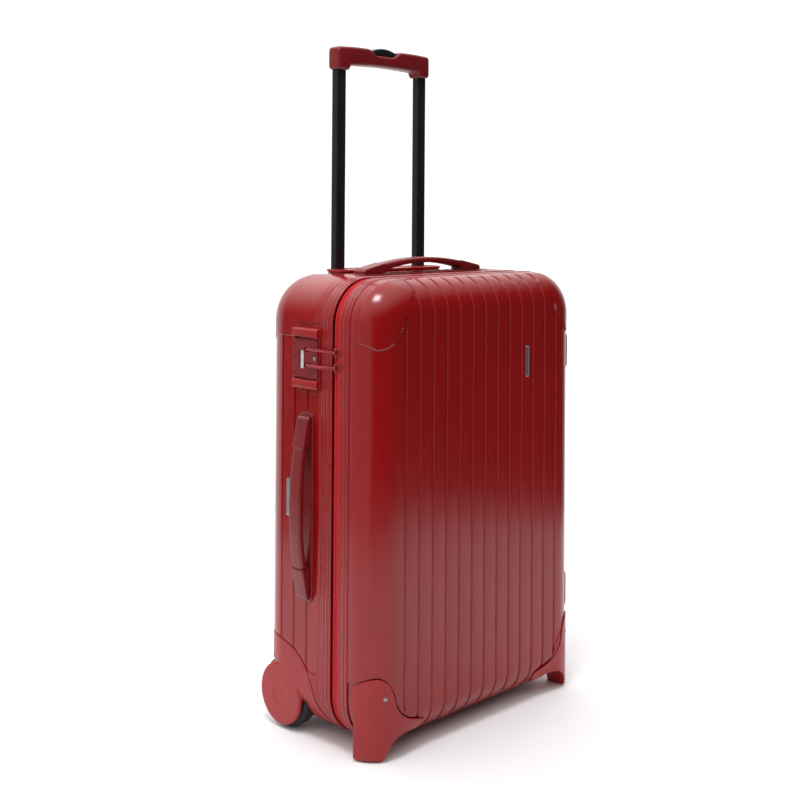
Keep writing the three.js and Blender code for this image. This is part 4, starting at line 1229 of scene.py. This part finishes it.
def badge(name, node, body, axis):
    """An oblong plate with a raised rim and a plain ribbed field."""
    low, high = span(node)
    a, _, along = AXES[axis]
    face, back = (low[along], high[along])
    a0, a1, z0, z1 = low[a], high[a], low[2], high[2]
    radius = (a1 - a0) / 2
    plate_rows = []
    for shrink, share in BADGE_SECTION:
        edges = (a0 + shrink, a1 - shrink, z0 + shrink, z1 - shrink)
        outline = rounded_rectangle(*edges, radius - shrink - 0.05, 10)
        plate_rows.append(in_axis(axis, outline, back + (face - back) * share))
    parts = [loft(plate_rows)]
    pitch = 3.1
    count = int((z1 - z0 - 2 * radius) / pitch)
    for i in range(count):
        z = (z0 + z1) / 2 + (i - (count - 1) / 2) * pitch
        rib = [(a0 + 1.9, z - 0.9), (a1 - 1.9, z + 0.1), (a1 - 1.9, z + 0.9), (a0 + 1.9, z - 0.1)]
        depth = sorted((back + (face - back) * 0.5, back + (face - back) * 0.9))
        parts.append(prism(axis, rib, *depth))
    dress(join(parts), name, SILVER, body, node, 30)


def make_badges():
    badge("front_plate", "front_badge", "lid", "y")
    badge("side_plate", "side_badge", "case", "x")


# ---- build

def make_shells():
    rear = shell(BACK_FACE, BACK_EDGE_RADIUS)
    (y0, y1), (z0, z1) = LOCK_Y, LOCK_Z
    cut(rear, "x", rounded_rectangle(y0 - GAP, y1 + GAP, z0 - GAP, z1 + GAP, 4.3, 6), -245, -200)
    for side in (-1, 1):
        boolean(rear, housing_region(side, GAP))
        boolean(rear, boolean(housing_region(side, 1.6), case_solid(-1.3, 1, BACK_FACE)))
        cut(rear, "z", guide_hole(side * POLE_X), 600, 700)
    dress(rear, "rear_shell_skin", SHELL, "case", "rear_shell")
    front = shell(FRONT_FACE, FRONT_EDGE_RADIUS)
    for side in (-1, 1):
        channel = prism("y", [(-side * x, z) for x, z in foot_outline(1.9)], FRONT_FACE - 8, -20)
        boolean(front, boolean(channel, case_solid(-1.7, -2, FRONT_FACE)))
    dress(front, "front_shell_skin", SHELL, "lid", "front_shell")


# ---- lining, straps and hidden metal

LINING_OFFSET = -5
LINING_BACK = 137
STRAPS_Z = 350


def lining(solid, open_y, blocks):
    """Cloth over the inside of one half: rounded over what stands in it, creased, open at the rim."""
    for block in blocks:
        boolean(solid, block)
    modify(solid, "REMESH", mode="VOXEL", voxel_size=4.5 * MM)
    modify(solid, "SMOOTH", factor=0.5, iterations=4)
    side = 1 if open_y > 0 else -1
    boolean(solid, box((-300, 300), sorted((open_y, open_y - side * 60)), (-50, 750)))
    rim_y = ORIGIN[1] + open_y * MM
    with editing(solid.data) as work:
        lids = [f for f in work.faces if all(abs(v.co.y - rim_y) < 0.05 * MM for v in f.verts)]
        bmesh.ops.delete(work, geom=lids, context="FACES")
        for vertex in work.verts:
            x, y, z = vertex.co / MM
            fold = sin(x * 0.11 + 1.7 * sin(z * 0.021))
            fold *= sin(z * 0.043 + 1.3 * sin(x * 0.017 + y * 0.03))
            vertex.co -= vertex.normal * (0.45 + 0.45 * fold) * MM
    modify(solid, "SOLIDIFY", thickness=0.9 * MM, offset=-1, use_rim=True)
    return face_outwards(solid)


def strap(lean, lift):
    """One ribbed webbing strap, stitched down at both ends and slack between."""
    half, wide, thick = 220, 12.5, 0.7
    turn = radians(lean)
    sections = []
    for along in np.linspace(-half, half, 90):
        share = abs(along) / half
        rise = lift * (1 - smoothstep(share, 0.02, 0.2)) + 1.6 * cos(share * pi / 2)
        y = LINING_BACK - 7.6 - rise + 4.2 * smoothstep(share, 0.9, 1.0)
        outline = [(-wide, thick), (-wide + 0.8, -thick)]
        ribs = np.linspace(-wide + 1.6, wide - 1.6, 13)
        outline += [(x, -thick - 0.25 * (k % 2)) for k, x in enumerate(ribs)]
        outline += [(wide - 0.8, -thick), (wide, thick)]
        sections.append([(along * sin(turn) + w * cos(turn), y + d,
                          STRAPS_Z + along * cos(turn) - w * sin(turn)) for w, d in outline])
    return loft(sections)


def buckle():
    """The plate where the straps cross: rounded, with a slot, two press tabs and a raised rim."""
    plate = prism("y", oval(0, STRAPS_Z, 24, 15, 6, 8), LINING_BACK - 15.5, LINING_BACK - 9.6)
    bevel(plate, 1.3, 4, 50)
    cut(plate, "y", oval(0, STRAPS_Z, 15, 5, 2, 4), LINING_BACK - 18, LINING_BACK - 13.4)
    for x in (-20, 20):
        tab = prism("y", oval(x, STRAPS_Z, 2.2, 9, 2, 4), LINING_BACK - 16.1, LINING_BACK - 12)
        boolean(plate, bevel(tab, 0.4, 2, 60), "UNION")
    return plate


def make_interior():
    blocks = [box((-245, -205), (28, 96), (500, 598))]
    for side in (-1, 1):
        blocks.append(box(across(side, HOUSING_INNER_X - 2, 245), (24, BEHIND_WHEELS_Y), (-10, 138)))
    rear = lining(case_solid(LINING_OFFSET, 2, LINING_BACK - LINING_OFFSET), 14, blocks)
    dress(rear, "rear_cloth", LINING, "case", "rear_lining", 60)
    front = lining(case_solid(LINING_OFFSET, -2, FRONT_FACE), -14, [])
    dress(front, "front_cloth", LINING, "lid", "front_lining", 60)
    for name, lean, lift in (("strap_one", 38, 0.0), ("strap_two", -38, 2.4)):
        ribbon = dress(strap(lean, lift), name, WEBBING, "case", "packing_straps", 40)
    dress(buckle(), "buckle_plate", BLACK, "case", "strap_buckle", 40)


def paint_hidden_nodes():
    """The metal parts that keep their CAD shape still get worked surfaces."""
    for names, material in (
        (("guide_tube_left", "guide_tube_right", "guide_tube_bridge"), TUBE),
        (("push_rod_left", "push_rod_right", "axle_left", "axle_right"), STEEL),
        (("bearing_left", "bearing_right"), BEARING),
    ):
        for name in names:
            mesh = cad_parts[name].data
            mesh.materials.clear()
            mesh.materials.append(material)


make_shells()
make_rims()
make_hinge_cloth()
make_wheels()
make_feet()
make_side_feet()
make_handles()
make_trolley()
make_lock()
make_badges()
make_interior()
paint_hidden_nodes()

# ---- camera, floor and light

CAMERA_PLACE = at([-1425.0, -1319.0, 770.9])
CAMERA_YAW = radians(45.041)
CAMERA_PITCH = radians(-0.552)
CAMERA_ROLL = radians(0.3934)
FOCAL_SHARE = 1257.38 / 800  # focal length over the frame's width
FRAME_SHIFT = -0.2585

FLOOR_RADIUS = 1300
ROOM_LIGHT = 0.07
BACKDROP_LIGHT = 1.15
CEILING_LIGHT = 1.5
WINDOW_LIGHT = 0.5
LAMP_PLACE = Vector((-0.7, -0.4, 2.2))
LAMP_TARGET = Vector((0, 0, 0.4))
LAMP_SIZE = 0.45
LAMP_POWER = 15


def make_camera():
    data = bpy.data.cameras.new("camera")
    camera = placed(data)
    ahead = Vector((sin(CAMERA_YAW) * cos(CAMERA_PITCH),
                    cos(CAMERA_YAW) * cos(CAMERA_PITCH), -sin(CAMERA_PITCH)))
    right = Vector((cos(CAMERA_YAW), -sin(CAMERA_YAW), 0))
    up = right.cross(ahead)
    c, s = cos(CAMERA_ROLL), sin(CAMERA_ROLL)
    right, up = right * c + up * s, up * c - right * s
    turn = Matrix((right, up, -ahead)).transposed()
    camera.matrix_world = Matrix.Translation(CAMERA_PLACE) @ turn.to_4x4()
    data.sensor_width = 36
    data.lens = 36 * FOCAL_SHARE
    data.shift_y = FRAME_SHIFT
    data.clip_end = 100
    bpy.context.scene.camera = camera


def make_lamp():
    """A small soft lamp overhead, which gives the short highlights on rounded edges."""
    data = bpy.data.lights.new("lamp", "AREA")
    data.size = LAMP_SIZE
    data.energy = LAMP_POWER
    lamp = placed(data)
    lamp.location = LAMP_PLACE
    lamp.rotation_euler = (LAMP_TARGET - LAMP_PLACE).to_track_quat("-Z", "Y").to_euler()


def make_studio():
    floor = disc("z", FLOOR_RADIUS, -20, 0, (0, 0), 128)
    paint = Paint("floor_paper", Roughness=0.85)
    paint.feed("Base Color", paint.mixed(paint.noise(1.5), srgb(243, 243, 244), srgb(247, 247, 248)))
    paint.bump(paint.noise(6, 3), 0.3, 0.3)
    floor.data.materials.append(paint.material)
    world = bpy.data.worlds.new("studio")
    world.use_nodes = True
    tree = world.node_tree
    where = tree.nodes.new("ShaderNodeTexCoord").outputs["Generated"]

    def glow(direction, start, end, dim, bright):
        """A soft patch of light on the room, brightest towards one direction."""
        dot = tree.nodes.new("ShaderNodeVectorMath")
        dot.operation = "DOT_PRODUCT"
        dot.inputs[1].default_value = direction
        tree.links.new(where, dot.inputs[0])
        ramp = tree.nodes.new("ShaderNodeMapRange")
        ramp.interpolation_type = "SMOOTHSTEP"
        values = {"From Min": start, "From Max": end, "To Min": dim, "To Max": bright}
        for socket, value in values.items():
            ramp.inputs[socket].default_value = value
        tree.links.new(dot.outputs["Value"], ramp.inputs["Value"])
        return ramp.outputs["Result"]

    patches = (
        glow((0.5, 0.866, 0), 0.25, 0.8, ROOM_LIGHT, BACKDROP_LIGHT),
        glow((-0.1, 0.1, 0.99), 0.3, 0.9, 0, CEILING_LIGHT),
        glow((-0.995, 0.1, 0), 0.74, 0.82, 0, WINDOW_LIGHT),
    )
    total = patches[0]
    for patch in patches[1:]:
        both = tree.nodes.new("ShaderNodeMath")
        tree.links.new(total, both.inputs[0])
        tree.links.new(patch, both.inputs[1])
        total = both.outputs[0]
    background = tree.nodes["Background"]
    background.inputs["Color"].default_value = (1, 1, 1, 1)
    tree.links.new(total, background.inputs["Strength"])
    bpy.context.scene.world = world


make_camera()
make_studio()
make_lamp()
bpy.context.scene.view_settings.view_transform = "Standard"
